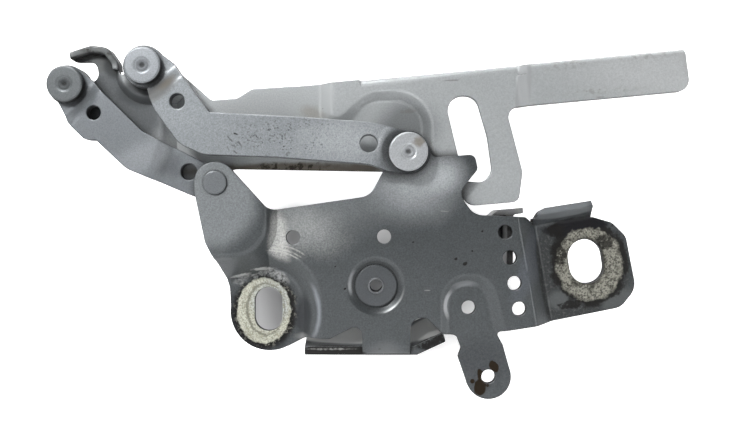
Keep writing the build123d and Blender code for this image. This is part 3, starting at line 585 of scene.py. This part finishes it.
for x, z, wide, tall, turn in ((150.5, 13.0, 2.2, 5.0, -35), (140.5, 12.0, 1.6, 4.5, 30)):
    gouge = plate.patch((x, -3.5, z), (wide, 3, tall), turn, 0.8, 420, 0.5)
    plate.lay(plate.both(gouge, plate.noise(800, 0.36, 0.5)), (0.04, 0.04, 0.036), 0.8, -0.00012, 0.6)
print("front pad laid")

# %% [markdown]
# Then come the small things: flecks where the film has chipped, a bright nick or two, and the brown
# splashes at the foot of the arm.

# %% Flecks and stains
for x, z, size in ((85.3, 23.5, 0.9), (89.4, 21.3, 1.3), (92.7, 27.0, 0.6), (97.2, 35.9, 0.6),
                   (35.4, 10.0, 0.7), (50.9, -17.2, 0.7), (31.0, 20.0, 0.5), (66.0, 31.0, 0.5)):
    fleck = plate.patch((x, -10, z), (size, 6, size * 0.75), 25, 0.5, 900, 0.3)
    plate.lay(fleck, GRIME_AND_SHADE, 0.7, -0.00005, 0.95)
for x, z, length, turn in ((72.4, 9.3, 1.6, 0), (79.9, 44.9, 2.6, -4), (75.0, 50.5, 2.0, 20)):
    nick = plate.patch((x, -11, z), (length, 5, 0.35), turn, 0.4, 700, 0.4)
    plate.lay(nick, (0.30, 0.30, 0.30), 0.35, 0.00004, 0.6)
for x, z, wide, tall, turn in ((102.8, -25.4, 2.0, 3.2, 35), (96.6, -34.6, 3.0, 4.4, -12),
                               (96.7, -29.4, 1.5, 3.4, 10), (93.0, -32.1, 1.1, 1.1, 0),
                               (99.9, -34.0, 0.7, 0.8, 0)):
    stain = plate.patch((x, -9, z), (wide, 4, tall), turn, 0.22, 420, 0.18)
    plate.lay(stain, BROWN_STAIN, 0.6, 0.00012, 0.98)
print("flecks and stains laid")

# %% [markdown]
# Two flanges are folded off the plate. The top one is a plain clean grey. The lower one lies behind
# the plate: its upper face is painted pale, as lit from above, where it shows through two notches,
# and no crevice shade is laid on it. Its sheared front ends are nearly black, with a torn bright
# streak in the middle of the thickness. The neck between the notches bends back and catches a little
# more light. The left edge of the right notch has a thin painted highlight.

# %% Flanges and cut faces
top_flange = plate.patch((134, -9, 45), (16, 3.5, 7), 8, 0.1, 100, 0.3)
plate.lay(top_flange, (0.17, 0.182, 0.19), 0.55, None, 0.97)
plate.cut((0.03, 0.03, 0.032), 0.75, 0.85, plate.nearer_than(-0.3))
shelf_rear = plate.patch((45, 3, -12.5), (40, 13, 5.5), 0, 0.05, 80, 0.2)
shelf_front = plate.patch((76, 3, -9), (18, 13, 11), 0, 0.05, 80, 0.2)
# Painted light: the lower flange's upper face is pale where it faces up.
shelf = plate.without(plate.either(shelf_rear, shelf_front), plate.nearer_than(PLATE_BACK))
plate.lay(shelf, (0.34, 0.345, 0.34), 0.5, None, 0.95)
neck = plate.patch((53.5, -8, -17.5), (12, 7, 7), 0, 0.1, 90, 0.7)
plate.lay(neck, (0.15, 0.157, 0.162), 0.42, None, 0.7)
# Painted highlight: a thin bright line on the left edge of the right notch.
notch_rim = plate.both(plate.patch((65.3, -9, -10.5), (0.7, 5, 5.5), 6, 0.1, 200, 0.4), front_side)
plate.lay(notch_rim, (0.50, 0.50, 0.49), 0.35, None, 0.7)
left_wing = plate.patch((31, -9.0, -18.3), (16.5, 2.4, 3.2), 0, 0.1, 200, 0.15)
plate.lay(left_wing, (0.02, 0.019, 0.018), 0.7, None, 0.9)
torn_streak = plate.patch((29, -9.0, -17.6), (14, 2.4, 0.6), 0, 0.6, 420, 0.5)
plate.lay(plate.both(torn_streak, plate.noise(500, 0.35, 0.6)), (0.30, 0.30, 0.29), 0.5, None, 0.8)
right_wing = plate.patch((74.5, -9.0, -14.5), (9.5, 2.6, 5.0), 0, 0.35, 240, 0.3)
plate.lay(plate.both(right_wing, plate.noise(500, 0.30, 0.5)), (0.015, 0.014, 0.013), 0.8, None, 0.9)
base_plate_finish = plate.finish(0.0008, (0.36, 0.37, 0.38), 0.45, shelf)
print("base plate:", len(plate.tree.nodes), "nodes")

# %% [markdown]
# ## The bonnet bracket
# The long bracket has a clean, light coating. Along its lower strip, behind the links, road dust
# and painted shade lie together, and a warm smear lies in the pocket. Shade is also painted on the
# web, the pocket, the arm, the finger and the seat, and a lighter band is painted on the rear joggle.

# %% Bonnet bracket finish
bonnet = Finish("bonnet_bracket_finish", BONNET_GREY, 0.42, 0.35, cloud_amount=0.05, peel_amount=0.03)
bar_end = bonnet.patch((185, -8, 108), (75, 12, 26), -5, 0.1, 40, 0.9)
bonnet.lay(bar_end, BONNET_PALE, 0.42, None, 0.95)
web_shade = bonnet.patch((-6, -3, 90), (36, 6, 20), 0, 0.12, 60, 0.8)
bonnet.lay(web_shade, (0.30, 0.313, 0.318), 0.45, None, 0.8)
pocket_shade = bonnet.patch((66, -3, 83), (22, 8, 19), 12, 0.12, 60, 0.6)
bonnet.lay(pocket_shade, BONNET_SHADE, 0.45, None, 0.8)
arm_shade = bonnet.patch((-70, -6, 90), (34, 8, 30), 30, 0.12, 60, 0.45)
bonnet.lay(arm_shade, (0.12, 0.128, 0.134), 0.66, None, 1.0)
bonnet.grain(1500.0, 0.13)
front_joggle = bonnet.patch((116.3, -8, 99), (3.8, 6, 22), -5, 0.08, 90, 0.3)
bonnet.lay(front_joggle, (0.31, 0.32, 0.325), 0.7, None, 0.95)
# Painted light: the rear joggle's ramp is lighter than the shaded web beside it.
rear_joggle = bonnet.patch((26.5, -6, 99), (4.6, 6, 16), 0, 0.08, 90, 0.3)
bonnet.lay(rear_joggle, (0.42, 0.435, 0.44), 0.75, None, 0.95)
# Painted shade: the finger is dark.
finger = bonnet.patch((-78, -9, 114.5), (16, 6.5, 8), 0, 0.15, 120, 0.3)
bonnet.lay(finger, (0.085, 0.09, 0.09), 0.5, None, 0.95)
finger_soot = bonnet.patch((-76, -9, 117.5), (12, 7, 3), -8, 0.4, 200, 0.5)
bonnet.lay(bonnet.both(finger_soot, bonnet.noise(300, 0.42, 0.6)), (0.02, 0.017, 0.013), 0.7, None, 0.85)
# Painted shade: dark at the root of the finger.
finger_root = bonnet.patch((-68.0, -7, 111.5), (8, 6, 8), 0, 0.15, 150, 0.4)
bonnet.lay(finger_root, (0.075, 0.08, 0.082), 0.8, None, 0.95)
for x, z, wide, tall in ((134.0, 112.0, 15.0, 4.0), (172.0, 116.0, 20.0, 3.2), (150.0, 99.5, 26.0, 2.2)):
    dust = bonnet.patch((x, -8, z), (wide, 6, tall), 4, 0.5, 180, 0.7)
    bonnet.lay(bonnet.both(dust, bonnet.noise(420, 0.46, 0.62)), (0.20, 0.19, 0.17), 0.6, None, 0.4)
bar_tip = bonnet.patch((194, -9, 108), (4.5, 6, 15), 0, 0.1, 120, 0.7)
bonnet.lay(bar_tip, (0.26, 0.265, 0.27), 0.5, None, 0.5)
seat_shade = bonnet.patch((-58.2, -9, 98.6), (13, 7, 8), 0, 0.12, 120, 0.5)
bonnet.lay(seat_shade, (0.085, 0.09, 0.094), 0.8, None, 0.85)
# Road dust and painted shade together along the lower strip, under the front link.
strip = bonnet.patch((10, -3, 64.0), (70, 5, 4.6), 1, 0.25, 110, 0.55)
bonnet.lay(strip, BROWN_DIRT_AND_SHADE, 0.7, None, 0.85)
smudges = bonnet.patch((11, -3, 65.5), (24, 5, 3.2), 0, 0.5, 200, 0.6)
bonnet.lay(bonnet.both(smudges, bonnet.noise(420, 0.48, 0.6)), (0.03, 0.026, 0.02), 0.8, None, 0.85)
smear = bonnet.patch((20, -5, 90), (9, 5, 4.5), -25, 0.45, 160, 0.7)
bonnet.lay(smear, (0.24, 0.225, 0.185), 0.5, None, 0.5)
for x, z, wide, tall in ((84.0, 104.6, 4.5, 0.5), (-33.0, 100.0, 0.5, 0.5), (64.0, 91.0, 6.0, 2.0),
                         (151.0, 96.6, 2.6, 0.5), (25.0, 92.0, 0.6, 0.4)):
    mark = bonnet.patch((x, -7, z), (wide, 5, tall), 3, 0.5, 500, 0.5)
    bonnet.lay(mark, (0.16, 0.155, 0.15), 0.6, None, 0.55)
flecks = bonnet.pits(420, 0.10, 0.42, 60)
bonnet.lay(flecks, (0.12, 0.11, 0.10), 0.6, None, 0.35)
bonnet.cut((0.10, 0.104, 0.108), 0.6, 0.8, bonnet.nearer_than(-3.0))
bonnet_finish = bonnet.finish(0.0007, (0.62, 0.63, 0.64), 0.5)
print("bonnet bracket:", len(bonnet.tree.nodes), "nodes")

# %% [markdown]
# ## The links
# The links are thick bars with a blasted, phosphated skin. The front one is pitted over half its
# length, with one open scratch; the rear one is smoother and darker. Shade is painted on the cranked
# bends, with a painted warm reflection on the front one; on the rear link lie a painted shadow of the
# front link and a painted lighter band on its low ramp.

# %% Link finishes
front = Finish("front_link_finish", LINK_GREY, 0.42, 0.4, cloud_amount=0.08, peel_amount=0.05,
               peel_scale=700.0)
pale_zone = front.patch((36, -19, 76), (34, 6, 16), 0, 0.2, 70, 0.9)
front.lay(pale_zone, LINK_PALE, 0.42, None, 0.85)
front.grain(1700.0, 0.27)
pitted = front.patch((8, -20, 77), (34, 5, 12), 0, 0.3, 110, 0.6)
small_pits = front.both(front.noise(1000, 0.55, 0.64), front.noise(150, 0.38, 0.56))
front.lay(front.both(pitted, small_pits), (0.05, 0.052, 0.055), 0.7, -0.00008, 0.85)
bright_grain = front.both(front.noise(1150, 0.58, 0.66), front.noise(120, 0.45, 0.6))
front.lay(front.both(pitted, bright_grain), (0.42, 0.43, 0.43), 0.35, 0.00003, 0.5)
for x, z, length, turn, deep in ((-12.3, 78.7, 1.7, -25, 0.9), (-14.8, 76.4, 2.4, -48, 0.5),
                                 (-13.6, 73.6, 1.7, -20, 0.5), (-12.6, 70.8, 1.3, -35, 0.6),
                                 (-10.6, 74.6, 1.4, -55, 0.5), (-15.6, 72.2, 1.2, -65, 0.4)):
    scratch = front.patch((x, -20, z), (length, 4, 0.5), turn, 0.7, 700, 0.6)
    front.lay(scratch, (0.012, 0.012, 0.013), 0.7, -0.00008, deep)
# Painted shade on the crank near the front bonnet rivet.
bend = front.patch((-46, -19, 98.5), (13, 6, 5.5), 38, 0.12, 120, 0.6)
front.lay(bend, (0.15, 0.152, 0.15), 0.78, None, 0.9)
# Painted reflection: a warm tint on the same crank.
tinge = front.patch((-43, -19, 101), (7, 6, 3.0), 38, 0.4, 160, 0.8)
front.lay(tinge, (0.14, 0.12, 0.095), 0.78, None, 0.55)
front.cut((0.05, 0.052, 0.055), 0.65, 0.8)
front_link_finish = front.finish(0.0010, (0.46, 0.47, 0.48), 0.5)
rear = Finish("rear_link_finish", (0.165, 0.178, 0.19), 0.42, 0.4, cloud_amount=0.09, peel_amount=0.05,
              peel_scale=800.0)
# Painted shadow of the front link on the rear link.
front_link_shadow = rear.patch((-44, -15, 68), (9, 6, 12), 20, 0.25, 90, 0.7)
rear.lay(front_link_shadow, (0.05, 0.054, 0.058), 0.55, None, 0.6)
# Painted light: a lighter band on the rear link's low ramp.
low_ramp_light = rear.patch((-52, -16, 70), (26, 6, 10), 25, 0.2, 80, 0.8)
rear.lay(low_ramp_light, (0.30, 0.317, 0.333), 0.42, None, 0.55)
# Painted shade on the crank near the rear bonnet rivet.
rear_bend = rear.patch((-79, -14, 93), (12, 6, 5), 49, 0.12, 120, 0.6)
rear.lay(rear_bend, (0.10, 0.108, 0.115), 0.78, None, 0.9)
rear.grain(1700.0, 0.18)
rear.lay(rear.pits(800, 0.2, 0.4, 90), (0.07, 0.073, 0.077), 0.7, -0.00004, 0.4)
rear.cut((0.045, 0.047, 0.05), 0.65, 0.8)
rear_link_finish = rear.finish(0.0010, (0.40, 0.41, 0.42), 0.5)
print("link finishes:", len(front.tree.nodes), "and", len(rear.tree.nodes), "nodes")

# %% [markdown]
# ## Rivets, nut and stop
# The riveting tool leaves a round mark in the middle of each head, and turning lines so fine that
# they only show as a soft sheen. The mark is painted dark inside and round it, as shade. Rings are
# the distance from the pivot's axis run through a wave.

# %% Rivet head finish
def head_finish(name, colour, centre, warm=None, dimpled=True):
    head = Finish(name, colour, 0.36, 0.45, cloud_amount=0.06, peel_amount=0.05, peel_scale=1200.0)
    place = put(head.tree, "ShaderNodeTexCoord").outputs["Object"]
    middle = put(head.tree, "ShaderNodeMapping", {"Vector": place, "Location": mm(-centre[0], 0, -centre[1])})
    rings = put(head.tree, "ShaderNodeTexWave",
                {"Vector": middle.outputs[0], "Scale": 520.0, "Distortion": 1.5, "Detail": 2.0},
                wave_type="RINGS", rings_direction="Y").outputs["Fac"]
    head.lay(rings, tuple(0.86 * c for c in colour), None, 0.000004, 0.5)
    if dimpled:
        # Painted shade: darker round the dimple and nearly black inside it.
        around = head.patch((centre[0], -19, centre[1]), (3.6, 8, 3.6), 0, 0.1, 600, 0.3)
        head.lay(around, tuple(0.6 * c for c in colour), 0.78, None, 0.8)
        pocket = head.patch((centre[0], -19, centre[1]), (1.6, 8, 1.6), 0, 0.2, 600, 0.5)
        head.lay(pocket, (0.04, 0.04, 0.04), 0.7, None, 0.7)
    head.grain(1600.0, 0.18)
    head.lay(head.pits(900, 0.16, 0.4, 120), (0.06, 0.06, 0.06), 0.6, -0.00003, 0.5)
    if warm:
        tinge = head.patch((centre[0] + warm[0], -19, centre[1] + warm[1]), (4.5, 5, 3.5), 30, 0.5, 260, 0.6)
        head.lay(tinge, (0.16, 0.135, 0.10), 0.6, None, 0.75)
    head.cut((0.05, 0.052, 0.055), 0.6, 0.85)
    return head.finish(0.0008, (0.50, 0.51, 0.52), 0.6)


large_head_finish = head_finish("large_head_finish", (0.47, 0.488, 0.505), (63.5, 71.0), (4.5, 4.5))
seat_head_finish = head_finish("seat_head_finish", (0.27, 0.287, 0.304), (-53.5, 109.0))
dark_head_finish = head_finish("dark_head_finish", DARK_HEAD_GREY, (-89.0, 101.5))
flat_head_finish = head_finish("flat_head_finish", (0.175, 0.188, 0.198), (-22.0, 57.5), None, False)
print("four head finishes")

# %% [markdown]
# The nut shares the plate's dark coating. The stop is a plain bent strip, and the bushes and
# washers inside the joints are bronze and bright steel, seen only when the hinge is taken apart.

# %% Small finishes
nut = Finish("nut_finish", (0.078, 0.084, 0.09), 0.36, 0.45, cloud_amount=0.08, peel_amount=0.06)
nut.grain(1500.0, 0.12)
# Darker round the bore.
nut_bore_dark = nut.patch((49.3, -10, 11.3), (3.1, 9, 3.1), 0, 0.2, 400, 0.3)
nut.lay(nut_bore_dark, (0.04, 0.038, 0.035), 0.7, None, 0.7)
# Painted highlight: a lighter ring on the collar.
collar_rim = nut.without(nut.patch((49.3, -12, 11.3), (4.0, 9, 4.0), 0, 0.1, 400, 0.15),
                         nut.patch((49.3, -12, 11.3), (3.3, 9, 3.3), 0, 0.1, 400, 0.15))
nut.lay(collar_rim, (0.26, 0.27, 0.28), 0.4, None, 0.55)
nut_finish = nut.finish(0.0004, (0.42, 0.43, 0.44), 0.5)
stop = Finish("stop_finish", (0.20, 0.205, 0.21), 0.5, 0.5, cloud_amount=0.12, peel_amount=0.08)
stop.lay(stop.noise(260, 0.5, 0.7), (0.30, 0.29, 0.26), 0.6, None, 0.5)
stop_finish = stop.finish(0.0004, (0.45, 0.45, 0.44), 0.5)
bronze = Finish("bush_finish", (0.42, 0.27, 0.12), 0.35, 0.9, cloud_amount=0.10, peel_amount=0.05)
bronze.lay(bronze.noise(300, 0.5, 0.75), (0.10, 0.07, 0.04), 0.5, None, 0.5)
bush_finish = bronze.finish(0.0002, (0.6, 0.45, 0.25), 0.4)
steel = Finish("washer_finish", (0.34, 0.35, 0.36), 0.38, 0.8, cloud_amount=0.08, peel_amount=0.05)
steel.lay(steel.noise(260, 0.5, 0.75), (0.06, 0.055, 0.05), 0.6, None, 0.6)
washer_finish = steel.finish(0.0002, (0.6, 0.6, 0.6), 0.4)
print("small finishes ready")

# %% [markdown]
# ## Handing out the finishes
# Each piece of the frame already has material slots, so a finish is put on by filling them. Nothing
# else about the piece is touched. What isn't in the list is a bush or a washer, and its name says so.

# %% Put each finish on its piece
finish_of = {
    "base_bracket": base_plate_finish, "bonnet_bracket": bonnet_finish,
    "front_link": front_link_finish, "rear_link": rear_link_finish,
    "rear_base_rivet": flat_head_finish, "front_base_rivet": large_head_finish,
    "rear_bonnet_rivet": dark_head_finish, "front_bonnet_rivet": seat_head_finish,
    "clinch_nut": nut_finish, "closing_stop": stop_finish,
}
for name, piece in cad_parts.items():
    finish = finish_of.get(name, bush_finish if name.endswith("bush") else washer_finish)
    for slot in piece.material_slots:
        slot.material = finish
print("finishes on", len(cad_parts), "pieces")

# %% [markdown]
# ## The studio
# The hinge hangs from its rear slot, a hand's width over a pale floor. The picture's background is
# pure white, but more lamps would bleach the metal. So the floor paper glows a little for the rays
# that come straight from the camera, or by way of a mirror or glass: where the lamps reach it the
# sum is white, and in the shade of the hinge it stays grey, so that the shadow is kept.

# %% Floor
PAPER_SIZE = 6.0
FLOOR_GAP = 60 * MM
FLOOR_Z = low[2] - FLOOR_GAP
# Painted shadow: round the point under the hinge the glow and the paper's colour are turned down.
FLOOR_SHADE = ((0, 0, FLOOR_Z), 1.0, 0.25, 0.7, 0.7)
SHADED_PAPER = (0.36, 0.36, 0.365, 1)
PALE_PAPER = (0.8, 0.8, 0.8, 1)


def seen_directly(tree):
    """1 for the rays that show the background itself: camera, mirror and glass rays."""
    ray = put(tree, "ShaderNodeLightPath").outputs
    seen = calc(tree, "MAXIMUM", ray["Is Camera Ray"], ray["Is Glossy Ray"])
    return calc(tree, "MAXIMUM", seen, ray["Is Transmission Ray"])


def paper_material(name, shades, one_sided):
    """Pale paper that glows for direct rays, less in each shade: centre, stretch, near, far, glow."""
    material = bpy.data.materials.new(name)
    material.use_nodes = True
    tree = material.node_tree
    tree.nodes.clear()
    paper = put(tree, "ShaderNodeBsdfDiffuse")
    glow = put(tree, "ShaderNodeEmission", {"Color": (1, 1, 1, 1)})
    place = put(tree, "ShaderNodeTexCoord").outputs["Object"]
    away = 1.0
    for centre, stretch, near, far_off, glow_left in shades:
        offset = vector_calc(tree, "SUBTRACT", place, centre)
        distance = vector_calc(tree, "LENGTH", vector_calc(tree, "MULTIPLY", offset, (1, 1, stretch)))
        away = calc(tree, "MINIMUM", away, ramp_value(tree, distance, near, far_off, glow_left, 1.0))
    fill(tree, paper.inputs["Color"], mix_colour(tree, away, SHADED_PAPER, PALE_PAPER))
    fill(tree, glow.inputs["Strength"], calc(tree, "MULTIPLY", seen_directly(tree), away))
    lit = put(tree, "ShaderNodeAddShader")
    tree.links.new(paper.outputs[0], lit.inputs[0])
    tree.links.new(glow.outputs[0], lit.inputs[1])
    out = put(tree, "ShaderNodeOutputMaterial")
    if one_sided:
        sides = put(tree, "ShaderNodeMixShader")
        fill(tree, sides.inputs[0], put(tree, "ShaderNodeNewGeometry").outputs["Backfacing"])
        tree.links.new(lit.outputs[0], sides.inputs[1])
        tree.links.new(put(tree, "ShaderNodeBsdfTransparent").outputs[0], sides.inputs[2])
        lit = sides
    tree.links.new(lit.outputs[0], out.inputs[0])
    return material


bpy.ops.object.select_all(action="DESELECT")
bpy.ops.mesh.primitive_plane_add(size=PAPER_SIZE, location=(0, 0, FLOOR_Z))
paper_floor = bpy.context.active_object
paper_floor.name = "studio_floor"
bpy.ops.object.transform_apply(location=True, rotation=True, scale=True)
paper_floor.data.materials.append(paper_material("floor_paper", [FLOOR_SHADE], False))
print("floor at", round(FLOOR_Z, 4))

# %% [markdown]
# A sheet of the same paper stands just behind the hinge. Painted shades on it, behind the plate,
# behind one hole and behind the rear slot, add to the hinge's own shadow, so that the small holes
# show grey instead of white, which tells the eye how thick the sheet is. It can only be seen from
# the front: from behind it is clear, so that the back of the hinge can be looked at too.

# %% Backdrop
BACKDROP_GAP = 12 * MM
BACKDROP_Y = high[1] + BACKDROP_GAP
# Painted shadows on the backdrop: centre, stretch, near, far, and the glow left at the centre.
PLATE_SHADE = ((0.060, BACKDROP_Y, 0.010), 1.4, 0.016, 0.076, 0.02)
HOLE_SHADE = ((0.010, BACKDROP_Y, 0.033), 1.0, 0.002, 0.024, 0.03)
SLOT_SHADE = ((-0.0058, BACKDROP_Y, -0.0045), 0.85, 0.0090, 0.0165, 0.06)
SLOT_CORNER_SHADE = ((-0.010, BACKDROP_Y, 0.006), 1.0, 0.0, 0.013, 0.0)
bpy.ops.object.select_all(action="DESELECT")
bpy.ops.mesh.primitive_plane_add(size=PAPER_SIZE, location=(0, BACKDROP_Y, FLOOR_Z + PAPER_SIZE / 2),
                                 rotation=(math.radians(90), 0, 0))
paper_wall = bpy.context.active_object
paper_wall.name = "studio_backdrop"
bpy.ops.object.transform_apply(location=True, rotation=True, scale=True)
paper_wall.data.materials.append(
    paper_material("backdrop_paper", [PLATE_SHADE, HOLE_SHADE, SLOT_SHADE, SLOT_CORNER_SHADE], True))
print("backdrop at", round(BACKDROP_Y, 4))

# %% [markdown]
# ## Light
# Grey metal shows what it reflects. A soft square lamp stands on the left, a little above the hinge
# and on the camera's side, so that every pressed step is light on its left and dark on its right. A
# tall narrow lamp on the right draws the thin highlights at the lower right of the dimple and the
# pads. A bar over the top lights the folded flanges, and a large lamp behind lights the back. The
# room itself is dim and a little blue, and a mirror sees white only where the pale paper would be.

# %% Lamps and world
def lamp(name, place, aim, size, power):
    data = bpy.data.lights.new(name, "AREA")
    data.shape = "RECTANGLE"
    data.size, data.size_y = size
    data.energy = power
    light = bpy.data.objects.new(name, data)
    light.location = place
    direction = [a - p for a, p in zip(aim, place)]
    flat = math.hypot(direction[0], direction[1])
    light.rotation_euler = (math.atan2(flat, -direction[2]), 0, math.atan2(-direction[0], direction[1]))
    bpy.context.scene.collection.objects.link(light)


lamp("key_light", (-0.34, -0.64, 0.52), (0.03, 0, 0.07), (0.18, 0.18), 6.8)
lamp("side_light", (0.70, -0.42, -0.05), (0.06, 0, 0.03), (0.06, 0.4), 1.4)
lamp("top_light", (-0.12, -0.22, 0.95), (0.02, 0, 0.05), (0.35, 0.12), 3.0)
lamp("back_light", (0.1, 0.9, 0.8), (0.03, 0, 0.05), (0.6, 0.4), 5)
ROOM_LIGHT = 0.14
DIM_MIRROR = 0.03
world = bpy.data.worlds.new("room")
bpy.context.scene.world = world
world.use_nodes = True
tree = world.node_tree
tree.nodes.clear()
ray = put(tree, "ShaderNodeLightPath").outputs
ray_direction = put(tree, "ShaderNodeTexCoord").outputs["Generated"]
towards = put(tree, "ShaderNodeSeparateXYZ", {"Vector": ray_direction})
behind = ramp_value(tree, towards.outputs["Y"], 0.35, 0.85, DIM_MIRROR, 1.0)
mirror = put(tree, "ShaderNodeBackground", {"Color": (1, 1, 1, 1), "Strength": behind})
room = put(tree, "ShaderNodeBackground", {"Color": (0.93, 0.96, 1.0, 1), "Strength": ROOM_LIGHT})
white = put(tree, "ShaderNodeBackground", {"Color": (1, 1, 1, 1), "Strength": 1.0})
reflected = put(tree, "ShaderNodeMixShader")
fill(tree, reflected.inputs[0], ray["Is Glossy Ray"])
tree.links.new(room.outputs[0], reflected.inputs[1])
tree.links.new(mirror.outputs[0], reflected.inputs[2])
both = put(tree, "ShaderNodeMixShader")
fill(tree, both.inputs[0], calc(tree, "MAXIMUM", ray["Is Camera Ray"], ray["Is Transmission Ray"]))
tree.links.new(reflected.outputs[0], both.inputs[1])
tree.links.new(white.outputs[0], both.inputs[2])
tree.links.new(both.outputs[0], put(tree, "ShaderNodeOutputWorld").inputs[0])
bpy.context.scene.view_settings.view_transform = "Standard"
print("studio lit")
